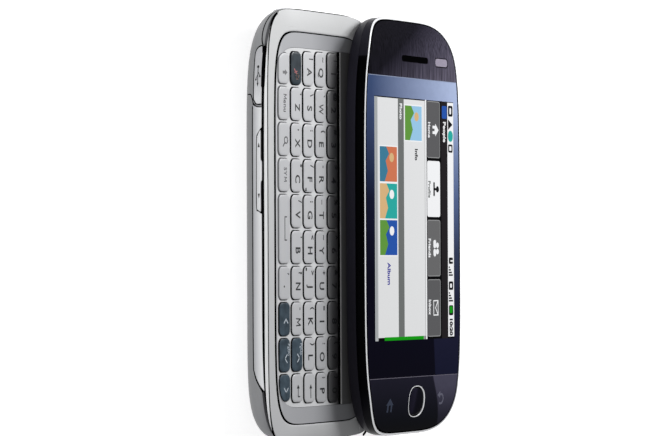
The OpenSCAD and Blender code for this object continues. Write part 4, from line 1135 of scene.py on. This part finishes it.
def screen_layers():
    """Every flat patch of the screen, from the back to the front, as (tone, outline)."""
    layers = [("black", tile(-20.5, 21.8, -29.8, 33.6)),
              ("white", tile(18.5, 21.8, -29.4, 33.4)), ("dark", tile(15.0, 18.5, -29.8, 33.6)),
              ("paper", tile(-5.2, 6.0, -29.0, 33.3)), ("line", tile(6.0, 6.25, -29.0, 33.5)),
              ("white", tile(6.25, 6.95, -29.8, 33.6)),
              ("grey", tile(-8.3, -5.2, -29.0, 33.4)), ("paper", tile(-18.9, -8.3, -29.0, 33.3)),
              ("pale", tile(-20.5, -18.9, -29.8, 33.4)), ("line", tile(-19.9, -19.5, -29.0, 33.4)),
              ("line", tile(5.0, 6.0, -29.8, -28.9)), ("green", tile(-15.7, 5.0, -29.8, -28.9))]
    ends = ((33.4, 18.3), (17.5, 2.6), (1.8, -13.2), (-14.0, -29.2))
    for (high, low), edge, face in zip(ends, ("line", "white", "line", "line"),
                                       ("tab", "white", "tab_light", "tab")):
        layers.append((edge, pill(7.25, 14.3, low, high, 0.7, 4)))
        layers.append((face, pill(7.25, 14.1, low + 0.2, high - 0.2, 0.6, 4)))
    ys = [25.8, 10.0, -5.7, -21.6]
    house = [[(1.7, 0.2), (0.0, 2.0), (-1.7, 0.2)], tile(-1.1, -0.35, -1.3, 0.3), tile(0.35, 1.1, -1.3, 0.3),
             tile(-1.1, 1.1, -0.2, 0.3)]
    figure = [disc(0, 1.25, 0.85, 20), tile(-0.3, 0.3, -0.4, 0.9), pill(-1.9, 1.9, -1.0, -0.2, 0.35, 4)]
    pair = [disc(-0.75, 1.1, 0.75, 20), disc(0.9, 1.1, 0.75, 20), pill(-2.2, 0.0, -1.1, 0.35, 0.6, 4),
            pill(0.2, 2.2, -1.1, 0.35, 0.6, 4)]
    letter = [bar(p, q, 0.3) for p, q in (((-1.9, -1.1), (1.9, -1.1)), ((1.9, -1.1), (1.9, 1.3)),
                                          ((1.9, 1.3), (-1.9, 1.3)), ((-1.9, 1.3), (-1.9, -1.1)),
                                          ((-1.9, 1.3), (0, -0.1)), ((0, -0.1), (1.9, 1.3)))]
    for y, icon, ink in zip(ys, (house, figure, pair, letter), ("white", "ink", "white", "white")):
        layers += [(ink, [(11.6 + v, y - u) for u, v in outline]) for outline in icon]
    for x, y, sky, land, sun in ((-4.6, 22.6, "sky", "leaf", "sand"),
                                 (-17.9, 11.5, "dusk", "lake", "sand"),
                                 (-17.9, 1.9, "teal", "sand", "white"),
                                 (-17.9, -7.6, "blue", "leaf", "white")):
        layers += [("white", tile(x - 0.3, x + 9.3, y - 0.3, y + 9.4)), (sky, tile(x, x + 9.0, y, y + 9.1)),
                   (sun, disc(x + 6.2, y + 6.3, 1.2, 24)),
                   (land, [(x, y), (x + 2.6, y), (x + 4.2, y + 2.8), (x + 3.1, y + 5.4), (x + 4.9, y + 7.2),
                           (x + 3.4, y + 9.1), (x, y + 9.1)])]
    layers.append(("blue", pill(15.5, 18.1, 29.0, 32.4, 0.4, 4)))
    marks = [("ink", pill(18.9, 21.4, 29.7, 32.6, 0.5, 4)), ("white", pill(19.7, 20.6, 30.3, 32.0, 0.3, 4)),
             ("ink", [(18.9, 28.9), (21.3, 27.5), (18.9, 26.1)]),
             ("teal", pill(18.8, 21.5, 22.9, 25.9, 1.3, 6)),
             ("ink", pill(18.9, 21.3, 20.0, 22.2, 0.4, 4)), ("white", pill(19.5, 20.7, 20.5, 21.7, 0.2, 4)),
             ("ink", pill(19.0, 21.2, -9.9, -8.2, 0.3, 4)), ("white", tile(19.9, 21.2, -9.3, -8.9)),
             ("ink", pill(18.9, 21.3, -16.9, -14.6, 0.4, 4)),
             ("white", pill(19.6, 20.6, -16.3, -15.2, 0.2, 4)),
             ("ink", pill(18.9, 21.3, -23.7, -21.0, 0.5, 4)),
             ("green", pill(19.3, 20.9, -23.1, -21.3, 0.3, 4))]
    marks += [("ink", tile(18.9, 19.5 + 0.55 * k, y - 0.42, y)) for start in (-10.6, -17.5)
              for k, y in enumerate((start, start - 0.7, start - 1.4, start - 2.1))]
    return layers + marks


# each word as (text, height, x, y)
SCREEN_WORDS = {"white": [("Home", 1.15, 8.4, 25.7), ("Friends", 1.2, 8.4, -5.7), ("Inbox", 1.2, 8.4, -21.4),
                          ("Photo", 1.2, -6.8, 30.0), ("People", 1.4, 16.8, 25.4)],
                "grey": [("Profile", 1.2, 8.4, 9.9)],
                "navy": [("Album", 1.5, -13.3, -12.4)],
                "ink": [("Info", 1.4, 1.4, 18.9)]}


def screen():
    """One plate of patches per tone, each patch a hair above the one behind it."""
    inks = {name: material("screen_" + name, colour, 0.3, level=0.05, grain=0.02, size=0.3, glow=0.75)
            for name, colour in SCREEN_TONES.items()}
    by_tone = {}
    for level, (name, outline) in enumerate(screen_layers()):
        patch = upright([outline], SCREEN_Z - 0.01, SCREEN_Z + 0.0004 * level)
        by_tone.setdefault(name, []).append(patch)
    for name, patches in by_tone.items():
        dress(merged("screen_" + name + "_tiles", patches, TRAVEL), "display", inks[name])
    for ink, words in SCREEN_WORDS.items():
        parts = [printed(word(text, height, 1.0, 0.025), x, y, SCREEN_Z + 0.07, 0.04)
                 for text, height, x, y in words]
        dress(merged("screen_" + ink + "_words", parts, TRAVEL), "display", inks[ink])
    clock = printed(word("10:20", 1.5, 1.0, 0.05), 20.1, -26.9, SCREEN_Z + 0.07, 0.04)
    dress(merged("screen_clock", [clock], TRAVEL), "display", inks["ink"])


def face_marks():
    """Faint home and back signs on the lower plate."""
    def lay(name, outlines, x, y, mat):
        points, faces = printed(shape(outlines), x + TRAVEL, y, 15.88, 0.05)
        dress(solid(name, [(px, py, pz - toe(py)) for px, py, pz in points], faces), "display", mat)

    home = [[(-1.9, -0.1), (1.9, -0.1), (0, 1.7)]]
    home += [tile(x, x + 0.8, y, y + 0.65) for x in (-1.3, 0.5) for y in (-1.9, -1.27, -0.64)]
    back = stroke(arc(0, 0, 1.25, -110, 120, 14), 0.5) + [[(-1.9, 1.1), (-0.5, 0.2), (-0.5, 2.0)]]
    for name, sign, x, y, mat in (("home_sign", home, -12.8, -46.5, ICON_FAINT),
                                  ("back_sign", back, 14.4, -45.9, ICON_SHEEN)):
        lay(name, [[(-v, u) for u, v in outline] for outline in sign], x, y, mat)


# ------------------------------------------------------------------ CAD nodes that stay in view

KEPT = ((STEEL, ("shield_cans", "card_sockets", "usb_connector", "vibration_motor", "case_screws",
                 "guide_studs", "slide_springs", "slide_plate", "display_screws")),
        (BLACK, ("audio_jack", "camera_module", "loudspeaker", "earpiece")),
        (BOARD, ("keyboard_board", "main_board")),
        # The mid frame is black as painted shade in the gap below the bezel; the keypad sheet is dark as
        # painted shade between the keys.
        (SHADOW_BLACK, ("mid_frame",)), (SHADED_SHEET, ("keypad_sheet",)), (CELL, ("battery",)),
        (GLOWING_CHROME, ("camera_ring",)), (LENS, ("camera_window",)), (FLASH, ("flash_lens",)),
        (RIBBON, ("flex_cable",)), (PANEL, ("lcd_module",)))


def kept_nodes():
    """Gives the CAD nodes that stay in view their materials."""
    for mat, names in KEPT:
        for name in names:
            mesh = frame["nodes"][name].data
            mesh.materials.clear()
            mesh.materials.append(mat)


# ------------------------------------------------------------------ stage, lights and camera


def floor():
    """Pale floor that reads as white to the camera and in mirrors, and keeps the phone's shadow."""
    reach, low = 6000, -0.02
    obj = solid("floor", [(x * reach, y * reach, low) for x, y in ((-1, -1), (1, -1), (1, 1), (-1, 1))],
                [(0, 1, 2, 3)])
    mat = bpy.data.materials.new("floor_white")
    mat.use_nodes = True
    tree = mat.node_tree
    tree.nodes.clear()
    seen = add(tree, "Math", add(tree, "LightPath", output="Is Camera Ray"),
               add(tree, "LightPath", output="Is Glossy Ray"), operation="MAXIMUM")
    light = add(tree, "Emission", Strength=add(tree, "Math", seen, 0.72, operation="MULTIPLY"))
    paper = add(tree, "BsdfDiffuse", tone(236, 236, 237))
    feed(tree.nodes.new("ShaderNodeOutputMaterial"), add(tree, "AddShader", paper, light))
    obj.data.materials.append(mat)


def world():
    """Surround that is white to the camera, even and dimmer as a light, and dimmer still in mirrors."""
    space = bpy.data.worlds.new("studio")
    bpy.context.scene.world = space
    space.use_nodes = True
    tree = space.node_tree
    seen = add(tree, "MapRange", add(tree, "LightPath", output="Is Camera Ray"), To_Min=0.2, To_Max=1.0)
    strength = add(tree, "Math", add(tree, "LightPath", output="Is Glossy Ray"), -0.1, seen,
                   operation="MULTIPLY_ADD")
    feed(tree.nodes["Background"], (1, 1, 1, 1), strength)


def lamp(name, place, aim, size, watts, mirrored=True):
    """Soft square lamp; places are in metres round the phone. One that isn't mirrored only lights."""
    light = bpy.data.lights.new(name, "AREA")
    light.shape = "SQUARE"
    light.size = size
    light.energy = watts
    obj = bpy.data.objects.new(name, light)
    obj.visible_glossy = mirrored
    obj.location = place
    obj.rotation_euler = (Vector(aim) - Vector(place)).to_track_quat("-Z", "Y").to_euler()
    bpy.context.scene.collection.objects.link(obj)


def camera():
    """Long lens from the left side, turned so that the phone's length stands upright in the picture."""
    lens_px = 3085.0
    yaw, tilt, roll = 1.0300, -0.015962, 0.004238
    shift_x, shift_y, distance = 9.296, -2.384, 820.195
    turn = Matrix.Rotation(roll, 3, "Z") @ Matrix.Rotation(tilt, 3, "X") @ Matrix.Rotation(yaw, 3, "Y")
    place = turn.transposed() @ Vector((-shift_x, -shift_y, distance)) + Vector((TRAVEL, 0, 0))
    data = bpy.data.cameras.new("camera")
    data.sensor_width = 36.0
    data.lens = lens_px / 654 * data.sensor_width
    data.clip_start = 0.01
    obj = bpy.data.objects.new("camera", data)
    obj.matrix_world = Matrix.Translation(place * MM) @ turn.transposed().to_4x4()
    bpy.context.scene.collection.objects.link(obj)
    bpy.context.scene.camera = obj


back_cover()
side_strips()
part_lines()
tray()
shadow_fillers()
upper_end()
bezel()
deck()
slide_bar()
keys()
key_grid()
letter_marks()
function_marks()
rocker()
flap()
side_keys()
display_back()
band_and_rim()
face_plates()
trim_fittings()
button()
screen()
face_marks()
kept_nodes()
floor()
world()
lamp("key_light", (0.15, 0.14, 0.17), (0, 0, 0.01), 0.1, 0.62)
lamp("side_fill", (-0.54, 0.0, 0.13), (0, 0, 0.01), 0.3, 1.6, mirrored=False)
camera()
bpy.context.scene.view_settings.view_transform = "Standard"
